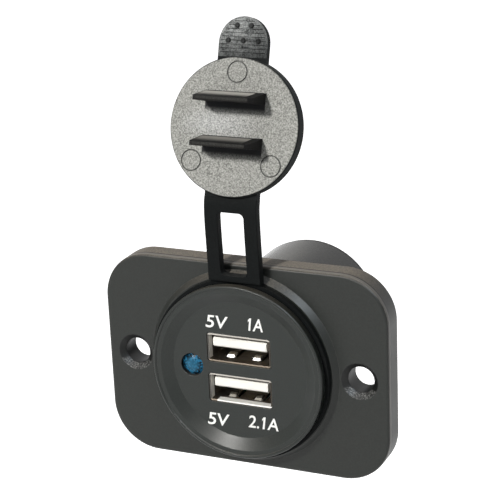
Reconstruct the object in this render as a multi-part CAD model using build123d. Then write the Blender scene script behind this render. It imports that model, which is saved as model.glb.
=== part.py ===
"""Panel-mounted twin charging socket with a rubber cover, in millimetres.

The socket axis runs along Y and its face looks towards -Y. The origin is on that axis, in the
plane of the panel plate's back. +X is to the right of someone who looks at the face, +Z is up.
"""
import math
import os
from build123d import *

# Charging ports
PORT_PITCH = 8.28
SHELL_WIDTH = 13.1
SHELL_HEIGHT = 5.7
SHELL_SHEET = 0.3
SHELL_CORNER = 0.6
SHELL_RECESS = 0.15
SHELL_LENGTH = 14.0
WINDOW_CLEARANCE = 0.1
TONGUE_SIDE_GAP = 0.7
TONGUE_THICKNESS = 1.84
TONGUE_TOP_GAP = 0.70
TONGUE_RECESS = 0.45
TONGUE_NOSE = 0.3
INSULATOR_BASE = 4.6
CONTACT_COUNT = 4
CONTACT_PITCH = 2.25
CONTACT_WIDTH = 1.1
CONTACT_THICKNESS = 0.3
CONTACT_PROUD = 0.1
CONTACT_RECESS = 0.9
SPRING_WIDTH = 2.0
SPRING_LENGTH = 5.2
SPRING_BULGE = 0.45
SPRING_SPACING = 5.4
SPRING_START = 2.0
SPRING_SLOT = 0.35
PORT_HEIGHTS = {"upper": PORT_PITCH / 2, "lower": -PORT_PITCH / 2}
CAVITY_WIDTH = SHELL_WIDTH - 2 * SHELL_SHEET
CAVITY_HEIGHT = SHELL_HEIGHT - 2 * SHELL_SHEET
TONGUE_WIDTH = CAVITY_WIDTH - 2 * TONGUE_SIDE_GAP

# Pilot lamp, beside the ports
LAMP_WEB = 1.0
LAMP_RADIUS = 2.3
LAMP_CLEARANCE = 0.05
LAMP_DOME = 1.0
LAMP_PROUD = 0.2
LAMP_FLANGE_RADIUS = 2.75
LAMP_FLANGE = 0.9
LAMP_BODY = 4.0
LAMP_LEG = 0.5
LAMP_LEG_SPACING = 2.54
LAMP_OFFSET = -(SHELL_WIDTH / 2 + WINDOW_CLEARANCE + LAMP_WEB + LAMP_CLEARANCE + LAMP_RADIUS)

# Socket body: flange, dished face and barrel in one moulding, round the ports and the lamp
LAMP_WALL_GAP = 0.15
BARREL_WALL = 1.5
THREAD_STEP = 0.3
THREAD_DEPTH = 0.45
THREAD_END = 13.0
FLANGE_OVERHANG = 2.9
FLANGE_THICKNESS = 1.6
BEAD_WIDTH = 0.65
BEAD_HEIGHT = 0.25
RIM_WIDTH = 0.85
DISH_DEPTH = 1.4
DISH_SLOPE = 2.2
FACE_THICKNESS = 2.0
SMALL_CHAMFER = 0.3
BARREL_BORE = -LAMP_OFFSET + LAMP_FLANGE_RADIUS + LAMP_WALL_GAP
BARREL_RADIUS = BARREL_BORE + BARREL_WALL
THREAD_ROOT_RADIUS = BARREL_RADIUS + THREAD_STEP
THREAD_RADIUS = THREAD_ROOT_RADIUS + THREAD_DEPTH
FLANGE_RADIUS = THREAD_ROOT_RADIUS + FLANGE_OVERHANG
RIM_RADIUS = FLANGE_RADIUS - BEAD_WIDTH - RIM_WIDTH
DISH_RADIUS = RIM_RADIUS - DISH_SLOPE

# Rubber cover
RING_THICKNESS = 1.1
RING_PROUD = 0.7
LUG_REACH = 0.7
STRAP_WIDTH = 10.5
STRAP_THICKNESS = 1.7
STRAP_SETBACK = 0.1
WINDOW_WIDTH = 5.4
WINDOW_ROUND = 1.0
WINDOW_MARGIN = 0.3
WINDOW_HEADROOM = 1.7
DISC_CLEARANCE = 1.0
DISC_THICKNESS = 2.8
DISC_EDGE_ROUND = 0.35
DISC_CENTRE_HEIGHT = 47.4
DISC_SETBACK = 5.3
COVER_LEAN = 16.7
COVER_GAP = 0.4
STUB_LENGTH = 1.0
TAB_WIDTH = 9.8
TAB_LENGTH = 7.5
TAB_THICKNESS = 1.3
GRIP_RADIUS = 0.45
GRIP_HEIGHT = 0.3
GRIP_TAPER = 12.0
GRIP_ROWS = ((1.7, (-1.4, 1.4)), (4.5, (-3.0, 0.0, 3.0)))
EJECTOR_RADIUS = 2.05
EJECTOR_GROOVE = 0.25
EJECTOR_DEPTH = 0.2
EJECTOR_PLACES = ((0.0, 10.1), (-8.0, -6.6), (8.0, -6.6))
BLADE_SIDE_GAP = 0.25
BLADE_LENGTH = 6.4
BLADE_ROOT_THICKNESS = 2.1
BLADE_TIP_THICKNESS = 0.7
BLADE_CORNER = 0.8
BLADE_TONGUE_GAP = 0.3
RING_RADIUS = FLANGE_RADIUS + RING_PROUD
LUG_TOP = RING_RADIUS + LUG_REACH
DISC_RADIUS = DISH_RADIUS - DISC_CLEARANCE
TAB_REACH = DISC_RADIUS + TAB_LENGTH
BLADE_WIDTH = CAVITY_WIDTH - 2 * BLADE_SIDE_GAP

# Panel plate, round the seat that carries the socket
SEAT_MARGIN = 0.3
SEAT_HEIGHT = 1.1
SEAT_SLOPE = 1.0
SEAT_BORDER = 1.1
HOLE_CLEARANCE = 0.2
COLLAR_WALL = 3.4
SCREW_HOLE_RADIUS = 2.6
SCREW_SINK_RADIUS = 3.65
SCREW_SEAT_GAP = 0.25
SCREW_INSET = 5.8
SCREW_BOSS_RADIUS = 4.7
PLATE_CORNER = 9.5
PLATE_THICKNESS = 5.0
PLATE_SKIN = 2.0
PLATE_WALL = 2.2
PLATE_EDGE_ROUND = 0.6
PLATE_RIB = 1.4
RIM_PROUD = 0.5
COLLAR_BACK = -RIM_PROUD
SEAT_FOOT_RADIUS = RING_RADIUS + SEAT_MARGIN + SEAT_SLOPE
PLATE_HOLE_RADIUS = THREAD_RADIUS + HOLE_CLEARANCE
SCREW_SPACING = 2 * (SEAT_FOOT_RADIUS + SCREW_SEAT_GAP + SCREW_SINK_RADIUS)
PLATE_WIDTH = SCREW_SPACING + 2 * SCREW_INSET
PLATE_HEIGHT = 2 * (SEAT_FOOT_RADIUS + SEAT_BORDER)

# Ring nut
NUT_WALL = 2.0
NUT_HEIGHT = 7.5
NUT_FLUTES = 18
NUT_FLUTE_RADIUS = 0.9
NUT_FLUTE_DEPTH = 0.65
NUT_CLEARANCE = 0.05
NUT_COLLAR = 1.6
NUT_COLLAR_PROUD = 0.8
NUT_RADIUS = THREAD_RADIUS + NUT_CLEARANCE + NUT_WALL

# Rear cover and terminals
REAR_PLUG = 2.6
REAR_FLANGE = 1.4
REAR_CLEARANCE = 0.05
TERMINAL_WIDTH = 6.3
TERMINAL_THICKNESS = 0.8
TERMINAL_EDGE = 2.7
TERMINAL_REACH = 8.0
TERMINAL_TAIL = 4.2
TERMINAL_TAIL_WIDTH = 3.4
TERMINAL_TIP = 1.0
TERMINAL_HOLE_RADIUS = 0.85
TERMINAL_HOLE_INSET = 4.0
TERMINAL_SHOULDER = 0.7

# Stations along the axis, front to back, as far as the port board
BOARD_THICKNESS = 1.6
PLATE_FRONT = -PLATE_THICKNESS
SEAT_FRONT = PLATE_FRONT - SEAT_HEIGHT
FLANGE_BACK = SEAT_FRONT - RING_THICKNESS
RIM_FRONT = FLANGE_BACK - FLANGE_THICKNESS
FACE_FRONT = RIM_FRONT + DISH_DEPTH
FACE_BACK = FACE_FRONT + FACE_THICKNESS
SHELL_FRONT = FACE_FRONT + SHELL_RECESS
SHELL_BACK = SHELL_FRONT + SHELL_LENGTH
PORT_BOARD_BACK = SHELL_BACK + BOARD_THICKNESS
COVER_FACE_CLOSED = FACE_FRONT - COVER_GAP

# Circuit boards and what they carry
PORT_BOARD_CLEARANCE = 0.15
CONVERTER_TOP = -2.0
CONVERTER_CLEARANCE = 0.5
CONVERTER_END_GAP = 0.8
PIN_SIZE = 0.64
PIN_COUNT = 4
PIN_PITCH = 2.54
HEADER_SIZE = 2.5
HEADER_DEPTH = 1.3
PIN_STANDOFF = 2.6
PIN_STICK_OUT = 0.7
CAPACITOR_RADIUS = 3.15
CAPACITOR_CRIMP = 0.25
CAPACITOR_CRIMP_HEIGHT = 0.75
CAPACITOR_BOARD_GAP = 0.9
CAPACITOR_SPACING = 0.3
CAPACITOR_EDGE = 0.7
CAPACITOR_TAIL_GAP = 0.25
INPUT_CAPACITOR_HEIGHT = 6.4
OUTPUT_CAPACITOR_HEIGHT = 5.4
COIL_RADIUS = 4.0
COIL_HEIGHT = 5.4
COIL_FLANGE = 0.9
COIL_HUB_RADIUS = 1.8
COIL_WIRE_INSET = 0.5
COIL_EDGE = 1.9
COIL_PIN_GAP = 1.0
CHIP_LENGTH = 4.9
CHIP_WIDTH = 3.9
CHIP_HEIGHT = 1.5
CHIP_STANDOFF = 0.1
CHIP_COIL_GAP = 0.5
CHIP_LEGS = 4
CHIP_LEG_PITCH = 1.27
CHIP_LEG_WIDTH = 0.42
CHIP_LEG_THICKNESS = 0.25
CHIP_LEG_REACH = 1.05
DIODE_LENGTH = 4.4
DIODE_WIDTH = 2.6
DIODE_HEIGHT = 2.1
DIODE_TAIL_GAP = 0.6
PORT_BOARD_RADIUS = BARREL_BORE - PORT_BOARD_CLEARANCE
CONVERTER_BOTTOM = CONVERTER_TOP - BOARD_THICKNESS
CONVERTER_HALF_WIDTH = math.sqrt(BARREL_BORE**2 - CONVERTER_BOTTOM**2) - CONVERTER_CLEARANCE
TERMINAL_OFFSET = CONVERTER_HALF_WIDTH - TERMINAL_EDGE - TERMINAL_WIDTH / 2
CAPACITOR_X = CONVERTER_HALF_WIDTH - CAPACITOR_EDGE - CAPACITOR_RADIUS
OUTPUT_CAPACITOR_Y = PORT_BOARD_BACK + CAPACITOR_BOARD_GAP + CAPACITOR_RADIUS
INPUT_CAPACITOR_Y = OUTPUT_CAPACITOR_Y + 2 * CAPACITOR_RADIUS + CAPACITOR_SPACING
TAIL_FRONT = INPUT_CAPACITOR_Y + CAPACITOR_RADIUS + CAPACITOR_TAIL_GAP
PIN_DROP_BACK = PORT_BOARD_BACK + PIN_STANDOFF + PIN_SIZE
COIL_X = COIL_EDGE + COIL_RADIUS - CONVERTER_HALF_WIDTH
COIL_Y = PIN_DROP_BACK + COIL_PIN_GAP + COIL_RADIUS
CHIP_X = COIL_X + COIL_RADIUS + CHIP_COIL_GAP + CHIP_LENGTH / 2
CHIP_Y = (OUTPUT_CAPACITOR_Y + INPUT_CAPACITOR_Y) / 2
DIODE_Y = TAIL_FRONT - DIODE_TAIL_GAP - DIODE_WIDTH / 2

# Stations along the axis behind the boards
CONVERTER_END = TAIL_FRONT + TERMINAL_TAIL
REAR_PLUG_FRONT = CONVERTER_END + CONVERTER_END_GAP
BARREL_END = REAR_PLUG_FRONT + REAR_PLUG
REAR_FACE = BARREL_END + REAR_FLANGE
TERMINAL_TIP_END = REAR_FACE + TERMINAL_REACH

# How far a cutting shape runs past what it cuts
OVERCUT = 1.0


def face_plane(y):
    """A sketch plane square to the socket axis: sketch x is +X and sketch y is +Z."""
    return Plane((0, y, 0), x_dir=(1, 0, 0), z_dir=(0, -1, 0))


def slab(outline, y_front, y_back):
    """The outline, drawn as seen from the front, as a slab between two stations."""
    return extrude(face_plane(y_back) * outline, amount=y_back - y_front)


def turned(points):
    """A closed outline of (radius, y) points turned about the socket axis."""
    return revolve(make_face(Polyline(*points, close=True)), axis=Axis.Y)


def standing(outline, base, height):
    """The outline, drawn as seen from above, raised from the height base."""
    return extrude(Plane.XY.offset(base) * outline, amount=height)


def mounting_plate():
    plate = slab(RectangleRounded(PLATE_WIDTH, PLATE_HEIGHT, PLATE_CORNER), PLATE_FRONT, 0)
    plate = fillet(plate.faces().sort_by(Axis.Y)[0].edges(), PLATE_EDGE_ROUND)
    pocket_front = PLATE_FRONT + PLATE_SKIN
    pocket_width = PLATE_WIDTH - 2 * PLATE_WALL
    pocket_height = PLATE_HEIGHT - 2 * PLATE_WALL
    pocket = slab(RectangleRounded(pocket_width, pocket_height, PLATE_CORNER - PLATE_WALL), pocket_front, 0)
    collar = slab(Circle(PLATE_HOLE_RADIUS + COLLAR_WALL), pocket_front, COLLAR_BACK)
    bosses = [
        slab(Pos(side * SCREW_SPACING / 2, 0) * Circle(SCREW_BOSS_RADIUS), pocket_front, 0)
        for side in (-1, 1)
    ]
    rib_length = math.hypot(PLATE_WIDTH, PLATE_HEIGHT)
    rib_angle = math.degrees(math.atan2(PLATE_HEIGHT / 2 - PLATE_CORNER, PLATE_WIDTH / 2 - PLATE_CORNER))
    ribs = [
        slab(Rot(0, 0, turn) * Rectangle(rib_length, PLATE_RIB), pocket_front, COLLAR_BACK)
        for turn in (rib_angle, -rib_angle)
    ]
    plate -= pocket - collar - bosses - ribs
    plate += turned(
        [
            (0, pocket_front),
            (SEAT_FOOT_RADIUS, pocket_front),
            (SEAT_FOOT_RADIUS, PLATE_FRONT),
            (SEAT_FOOT_RADIUS - SEAT_SLOPE, SEAT_FRONT),
            (0, SEAT_FRONT),
        ]
    )
    plate -= slab(Circle(PLATE_HOLE_RADIUS), SEAT_FRONT - OVERCUT, OVERCUT)
    sink_depth = SCREW_SINK_RADIUS - SCREW_HOLE_RADIUS
    hole = turned(
        [
            (0, PLATE_FRONT - OVERCUT),
            (SCREW_SINK_RADIUS + OVERCUT, PLATE_FRONT - OVERCUT),
            (SCREW_HOLE_RADIUS, PLATE_FRONT + sink_depth),
            (SCREW_HOLE_RADIUS, OVERCUT),
            (0, OVERCUT),
        ]
    )
    for side in (-1, 1):
        plate -= Pos(side * SCREW_SPACING / 2, 0, 0) * hole
    return plate


def socket_body():
    bead_inner = FLANGE_RADIUS - BEAD_WIDTH
    bead_front = RIM_FRONT - BEAD_HEIGHT
    profile = Polyline(
        (FLANGE_RADIUS, RIM_FRONT),
        (FLANGE_RADIUS, FLANGE_BACK - SMALL_CHAMFER),
        (FLANGE_RADIUS - SMALL_CHAMFER, FLANGE_BACK),
        (THREAD_ROOT_RADIUS, FLANGE_BACK),
        (THREAD_ROOT_RADIUS, THREAD_END),
        (BARREL_RADIUS, THREAD_END + THREAD_STEP),
        (BARREL_RADIUS, BARREL_END - SMALL_CHAMFER),
        (BARREL_RADIUS - SMALL_CHAMFER, BARREL_END),
        (BARREL_BORE, BARREL_END),
        (BARREL_BORE, FACE_BACK),
        (0, FACE_BACK),
        (0, FACE_FRONT),
        (DISH_RADIUS, FACE_FRONT),
        (RIM_RADIUS, RIM_FRONT),
        (bead_inner, RIM_FRONT),
    )
    bead = ThreePointArc(
        (bead_inner, RIM_FRONT),
        ((bead_inner + FLANGE_RADIUS) / 2, bead_front),
        (FLANGE_RADIUS, RIM_FRONT),
    )
    body = revolve(make_face(profile + bead), axis=Axis.Y)
    window = RectangleRounded(
        SHELL_WIDTH + 2 * WINDOW_CLEARANCE, SHELL_HEIGHT + 2 * WINDOW_CLEARANCE, SHELL_CORNER
    )
    for height in PORT_HEIGHTS.values():
        body -= slab(Pos(0, height) * window, FACE_FRONT - OVERCUT, FACE_BACK + OVERCUT)
    lamp_hole = Pos(LAMP_OFFSET, 0) * Circle(LAMP_RADIUS + LAMP_CLEARANCE)
    return body - slab(lamp_hole, FACE_FRONT - OVERCUT, FACE_BACK + OVERCUT)


def cap_ring():
    ring = Circle(RING_RADIUS)
    lug = Pos(0, LUG_TOP / 2) * Rectangle(STRAP_WIDTH, LUG_TOP)
    hole = Circle(THREAD_RADIUS)
    return slab(ring + lug - hole, FLANGE_BACK, SEAT_FRONT)


def cover_plane():
    """The cover disc's inner face with the cover open: sketch y runs up to the pull tab."""
    lean = math.radians(COVER_LEAN)
    return Plane(
        (0, -DISC_SETBACK, DISC_CENTRE_HEIGHT),
        x_dir=(1, 0, 0),
        z_dir=(0, -math.cos(lean), math.sin(lean)),
    )


def strap_end():
    """Where the strap's middle meets the cover's stub, as (y, z), and its direction there."""
    lean = math.radians(COVER_LEAN)
    depth = DISC_THICKNESS - STRAP_THICKNESS / 2
    drop = DISC_RADIUS + STUB_LENGTH
    y = -DISC_SETBACK + depth * math.cos(lean) - drop * math.sin(lean)
    z = DISC_CENTRE_HEIGHT - depth * math.sin(lean) - drop * math.cos(lean)
    return y, z, (0, math.sin(lean), math.cos(lean))


def cap_strap():
    y_start = SEAT_FRONT - STRAP_SETBACK - STRAP_THICKNESS / 2
    y_end, z_end, direction = strap_end()
    path = Spline((0, y_start, LUG_TOP), (0, y_end, z_end), tangents=[(0, 0, 1), direction])
    strap = sweep(Plane.XY * Pos(0, y_start, LUG_TOP) * Rectangle(STRAP_WIDTH, STRAP_THICKNESS), path=path)
    bottom = LUG_TOP + WINDOW_MARGIN
    top = z_end - WINDOW_HEADROOM
    window = Pos(0, (bottom + top) / 2) * RectangleRounded(WINDOW_WIDTH, top - bottom, WINDOW_ROUND)
    return strap - slab(window, y_start - STRAP_THICKNESS, y_start + STRAP_THICKNESS)


def cover_blade(port_height):
    """One plug blade, as it lies under its port's tongue when the cover is shut."""
    tongue_bottom = port_height + CAVITY_HEIGHT / 2 - TONGUE_TOP_GAP - TONGUE_THICKNESS
    blade_top = tongue_bottom - BLADE_TONGUE_GAP
    side = make_face(
        Polyline(
            (-blade_top, -DISC_THICKNESS / 2),
            (-blade_top, BLADE_LENGTH),
            (BLADE_TIP_THICKNESS - blade_top, BLADE_LENGTH),
            (BLADE_ROOT_THICKNESS - blade_top, 0),
            (BLADE_ROOT_THICKNESS - blade_top, -DISC_THICKNESS / 2),
            close=True,
        )
    )
    blade = extrude(Plane.YZ * side, amount=BLADE_WIDTH / 2, both=True)
    tip_corners = blade.faces().sort_by(Axis.Z)[-1].edges().filter_by(Axis.Y)
    return chamfer(tip_corners, BLADE_CORNER)


def cap_cover():
    """The cover in its own frame: inner face on XY, blades up +Z, pull tab towards +Y."""
    disc = extrude(Circle(DISC_RADIUS), amount=-DISC_THICKNESS)
    disc = fillet(disc.edges(), DISC_EDGE_ROUND)
    back = Plane.XY.offset(-DISC_THICKNESS)
    tab_end = TAB_REACH - TAB_WIDTH / 2
    tab = Pos(0, tab_end) * Circle(TAB_WIDTH / 2) + Pos(0, tab_end / 2) * Rectangle(TAB_WIDTH, tab_end)
    cover = disc + extrude(back * tab, amount=TAB_THICKNESS)
    stub_length = DISC_RADIUS + STUB_LENGTH
    stub = Pos(0, -stub_length / 2) * Rectangle(STRAP_WIDTH, stub_length)
    cover += extrude(back * stub, amount=STRAP_THICKNESS)
    grip_base = Plane.XY.offset(TAB_THICKNESS - DISC_THICKNESS)
    for inset, places in GRIP_ROWS:
        for x in places:
            foot = Pos(x, TAB_REACH - inset) * Circle(GRIP_RADIUS)
            cover += extrude(grip_base * foot, amount=GRIP_HEIGHT, taper=GRIP_TAPER)
    mark = Circle(EJECTOR_RADIUS) - Circle(EJECTOR_RADIUS - EJECTOR_GROOVE)
    for x, reach in EJECTOR_PLACES:
        cover -= extrude(Pos(x, reach) * mark, amount=-EJECTOR_DEPTH)
    for height in PORT_HEIGHTS.values():
        cover += cover_blade(height)
    return cover_plane() * cover


def usb_shell(height):
    outer = RectangleRounded(SHELL_WIDTH, SHELL_HEIGHT, SHELL_CORNER)
    inner = RectangleRounded(CAVITY_WIDTH, CAVITY_HEIGHT, SHELL_CORNER - SHELL_SHEET)
    shell = slab(outer - inner, SHELL_FRONT, SHELL_BACK)
    spring_middle = SHELL_FRONT + SPRING_START + SPRING_LENGTH / 2
    wall = CAVITY_HEIGHT / 2 + SHELL_SHEET
    chord = SPRING_LENGTH / 2
    spring_side = make_face(
        Polyline((-chord, 0), (-chord, -SHELL_SHEET), (chord, -SHELL_SHEET), (chord, 0))
        + ThreePointArc((chord, 0), (0, SPRING_BULGE), (-chord, 0))
    )
    relief = make_face(
        Polyline((-chord, -SHELL_SHEET), (chord, -SHELL_SHEET))
        + ThreePointArc((chord, -SHELL_SHEET), (0, SPRING_BULGE - SHELL_SHEET), (-chord, -SHELL_SHEET))
    )
    spring = extrude(Plane.YZ * (spring_side - relief), amount=SPRING_WIDTH / 2, both=True)
    slot_length = SPRING_LENGTH - 2 * SPRING_SLOT
    slot = Box(SPRING_WIDTH + 2 * SPRING_SLOT, slot_length, SHELL_SHEET + 2 * OVERCUT)
    for side in (-1, 1):
        place = Pos(side * SPRING_SPACING / 2, spring_middle, -(wall - SHELL_SHEET))
        shell -= place * Pos(0, 0, -SHELL_SHEET / 2) * slot
        shell += place * spring
    return Pos(0, 0, height) * shell


def tongue_height(height):
    return height + CAVITY_HEIGHT / 2 - TONGUE_TOP_GAP - TONGUE_THICKNESS / 2


def usb_contacts(height):
    bottom = tongue_height(height) - TONGUE_THICKNESS / 2
    middle = bottom + CONTACT_THICKNESS / 2 - CONTACT_PROUD
    strip = Rectangle(CONTACT_WIDTH, CONTACT_THICKNESS)
    front = SHELL_FRONT + TONGUE_RECESS + CONTACT_RECESS
    first = -(CONTACT_COUNT - 1) * CONTACT_PITCH / 2
    return [
        slab(Pos(first + i * CONTACT_PITCH, middle) * strip, front, SHELL_BACK)
        for i in range(CONTACT_COUNT)
    ]


def usb_insulator(height):
    tongue = Pos(0, tongue_height(height)) * Rectangle(TONGUE_WIDTH, TONGUE_THICKNESS)
    block = Pos(0, height) * RectangleRounded(CAVITY_WIDTH, CAVITY_HEIGHT, SHELL_CORNER - SHELL_SHEET)
    front = SHELL_FRONT + TONGUE_RECESS
    insulator = slab(tongue, front, SHELL_BACK) + slab(block, SHELL_BACK - INSULATOR_BASE, SHELL_BACK)
    nose = insulator.faces().sort_by(Axis.Y)[0].edges().filter_by(Axis.X)
    insulator = chamfer(nose, TONGUE_NOSE)
    return insulator - usb_contacts(height)


def led_lamp():
    dome_front = FACE_FRONT - LAMP_PROUD
    straight = dome_front + LAMP_DOME
    outline = Polyline(
        (0, dome_front),
        (0, FACE_BACK + LAMP_BODY),
        (LAMP_RADIUS, FACE_BACK + LAMP_BODY),
        (LAMP_RADIUS, FACE_BACK + LAMP_FLANGE),
        (LAMP_FLANGE_RADIUS, FACE_BACK + LAMP_FLANGE),
        (LAMP_FLANGE_RADIUS, FACE_BACK),
        (LAMP_RADIUS, FACE_BACK),
        (LAMP_RADIUS, straight),
    )
    dome_radius = (LAMP_RADIUS**2 + LAMP_DOME**2) / (2 * LAMP_DOME)
    half_turn = math.asin(LAMP_RADIUS / dome_radius) / 2
    dome_middle = (dome_radius * math.sin(half_turn), dome_front + dome_radius * (1 - math.cos(half_turn)))
    dome = ThreePointArc((LAMP_RADIUS, straight), dome_middle, (0, dome_front))
    return Pos(LAMP_OFFSET, 0, 0) * revolve(make_face(outline + dome), axis=Axis.Y)


def led_legs():
    leg = Rectangle(LAMP_LEG, LAMP_LEG)
    return [
        slab(Pos(LAMP_OFFSET, side * LAMP_LEG_SPACING / 2) * leg, FACE_BACK + LAMP_BODY, SHELL_BACK)
        for side in (-1, 1)
    ]


def pin_places():
    first = -(PIN_COUNT - 1) * PIN_PITCH / 2
    return [first + i * PIN_PITCH for i in range(PIN_COUNT)]


def link_pins():
    """Right-angle pins: through the port board, back, and down through the converter board."""
    height = CONVERTER_TOP + HEADER_SIZE / 2
    square = Rectangle(PIN_SIZE, PIN_SIZE)
    pins = []
    for x in pin_places():
        level = slab(Pos(x, height) * square, SHELL_BACK, PIN_DROP_BACK)
        drop_top = height + PIN_SIZE / 2
        drop = standing(
            Pos(x, PIN_DROP_BACK - PIN_SIZE / 2) * square,
            CONVERTER_BOTTOM - PIN_STICK_OUT,
            drop_top - CONVERTER_BOTTOM + PIN_STICK_OUT,
        )
        pins.append(level + drop)
    return pins


def link_header():
    height = CONVERTER_TOP + HEADER_SIZE / 2
    bar = Pos(0, height) * Rectangle(PIN_COUNT * PIN_PITCH, HEADER_SIZE)
    return slab(bar, PORT_BOARD_BACK, PORT_BOARD_BACK + HEADER_DEPTH) - link_pins()


def port_board():
    return slab(Circle(PORT_BOARD_RADIUS), SHELL_BACK, PORT_BOARD_BACK) - link_pins()


def converter_board():
    length = CONVERTER_END - PORT_BOARD_BACK
    board = Pos(0, PORT_BOARD_BACK + length / 2) * Rectangle(2 * CONVERTER_HALF_WIDTH, length)
    return standing(board, CONVERTER_BOTTOM, BOARD_THICKNESS) - link_pins()


def inductor_core():
    ends = Pos(COIL_X, COIL_Y) * Circle(COIL_RADIUS)
    hub = Pos(COIL_X, COIL_Y) * Circle(COIL_HUB_RADIUS)
    core = standing(ends, CONVERTER_TOP, COIL_FLANGE)
    core += standing(ends, CONVERTER_TOP + COIL_HEIGHT - COIL_FLANGE, COIL_FLANGE)
    return core + standing(hub, CONVERTER_TOP, COIL_HEIGHT)


def inductor_winding():
    ring = Circle(COIL_RADIUS - COIL_WIRE_INSET) - Circle(COIL_HUB_RADIUS)
    return standing(Pos(COIL_X, COIL_Y) * ring, CONVERTER_TOP + COIL_FLANGE, COIL_HEIGHT - 2 * COIL_FLANGE)


def capacitor(y, height):
    neck = CAPACITOR_RADIUS - CAPACITOR_CRIMP
    outline = Polyline(
        (0, 0),
        (CAPACITOR_RADIUS, 0),
        (CAPACITOR_RADIUS, CAPACITOR_CRIMP_HEIGHT),
        (neck, 2 * CAPACITOR_CRIMP_HEIGHT),
        (CAPACITOR_RADIUS, 3 * CAPACITOR_CRIMP_HEIGHT),
        (CAPACITOR_RADIUS, height - CAPACITOR_CRIMP),
        (neck, height),
        (0, height),
        close=True,
    )
    can = revolve(Plane.XZ * make_face(outline), axis=Axis.Z)
    return Pos(CAPACITOR_X, y, CONVERTER_TOP) * can


def converter_chip():
    chip = standing(Rectangle(CHIP_LENGTH, CHIP_WIDTH), CONVERTER_TOP + CHIP_STANDOFF, CHIP_HEIGHT)
    leg = Rectangle(CHIP_LEG_WIDTH, CHIP_WIDTH + 2 * CHIP_LEG_REACH)
    first = -(CHIP_LEGS - 1) * CHIP_LEG_PITCH / 2
    for i in range(CHIP_LEGS):
        chip += standing(Pos(first + i * CHIP_LEG_PITCH, 0) * leg, CONVERTER_TOP, CHIP_LEG_THICKNESS)
    return Pos(CHIP_X, CHIP_Y, 0) * chip


def rectifier_diode():
    diode = standing(Pos(0, DIODE_Y) * Rectangle(DIODE_LENGTH, DIODE_WIDTH), CONVERTER_TOP, DIODE_HEIGHT)
    top = diode.faces().sort_by(Axis.Z)[-1].edges()
    return chamfer(top, SMALL_CHAMFER)


def ring_nut():
    inner = THREAD_ROOT_RADIUS + NUT_CLEARANCE
    collar_end = COLLAR_BACK + NUT_COLLAR
    nut_end = COLLAR_BACK + NUT_HEIGHT
    nut = turned(
        [
            (inner, COLLAR_BACK),
            (NUT_RADIUS + NUT_COLLAR_PROUD, COLLAR_BACK),
            (NUT_RADIUS + NUT_COLLAR_PROUD, collar_end),
            (NUT_RADIUS, collar_end),
            (NUT_RADIUS, nut_end - SMALL_CHAMFER),
            (NUT_RADIUS - SMALL_CHAMFER, nut_end),
            (inner, nut_end),
        ]
    )
    flute_ring = NUT_RADIUS + NUT_FLUTE_RADIUS - NUT_FLUTE_DEPTH
    flutes = PolarLocations(flute_ring, NUT_FLUTES) * Circle(NUT_FLUTE_RADIUS)
    return nut - slab(Sketch() + flutes, collar_end, nut_end + OVERCUT)


def terminal(side):
    shoulder = REAR_PLUG_FRONT - TERMINAL_SHOULDER
    half = TERMINAL_WIDTH / 2
    half_tail = TERMINAL_TAIL_WIDTH / 2
    right_side = [
        (half_tail, TAIL_FRONT),
        (half_tail, shoulder),
        (half, shoulder),
        (half, TERMINAL_TIP_END - TERMINAL_TIP),
        (half - TERMINAL_TIP, TERMINAL_TIP_END),
    ]
    left_side = [(-x, y) for x, y in reversed(right_side)]
    outline = make_face(Polyline(*right_side, *left_side, close=True))
    outline -= Pos(0, TERMINAL_TIP_END - TERMINAL_HOLE_INSET) * Circle(TERMINAL_HOLE_RADIUS)
    return Pos(side * TERMINAL_OFFSET, 0, 0) * standing(outline, CONVERTER_TOP, TERMINAL_THICKNESS)


def rear_cover():
    cover = slab(Circle(BARREL_RADIUS - SMALL_CHAMFER), BARREL_END, REAR_FACE)
    cover = chamfer(cover.faces().sort_by(Axis.Y)[-1].edges(), SMALL_CHAMFER)
    cover += slab(Circle(BARREL_BORE - REAR_CLEARANCE), REAR_PLUG_FRONT, BARREL_END)
    slot = Rectangle(TERMINAL_WIDTH + 2 * REAR_CLEARANCE, TERMINAL_THICKNESS + 2 * REAR_CLEARANCE)
    height = CONVERTER_TOP + TERMINAL_THICKNESS / 2
    for side in (-1, 1):
        opening = Pos(side * TERMINAL_OFFSET, height) * slot
        cover -= slab(opening, REAR_PLUG_FRONT - OVERCUT, REAR_FACE + OVERCUT)
    return cover


def pieces():
    """Every physical piece, by the name that its file gets."""
    named = {
        "mounting_plate": mounting_plate(),
        "socket_body": socket_body(),
        "cap_ring": cap_ring(),
        "cap_strap": cap_strap(),
        "cap_cover": cap_cover(),
        "ring_nut": ring_nut(),
        "rear_cover": rear_cover(),
        "terminal_positive": terminal(1),
        "terminal_negative": terminal(-1),
        "led_lamp": led_lamp(),
        "led_legs": led_legs(),
        "port_board": port_board(),
        "converter_board": converter_board(),
        "link_header": link_header(),
        "link_pins": link_pins(),
        "inductor_core": inductor_core(),
        "inductor_winding": inductor_winding(),
        "input_capacitor": capacitor(INPUT_CAPACITOR_Y, INPUT_CAPACITOR_HEIGHT),
        "output_capacitor": capacitor(OUTPUT_CAPACITOR_Y, OUTPUT_CAPACITOR_HEIGHT),
        "converter_chip": converter_chip(),
        "rectifier_diode": rectifier_diode(),
    }
    for deck, height in PORT_HEIGHTS.items():
        named[f"usb_shell_{deck}"] = usb_shell(height)
        named[f"usb_insulator_{deck}"] = usb_insulator(height)
        named[f"usb_contacts_{deck}"] = usb_contacts(height)
    return named


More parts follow.
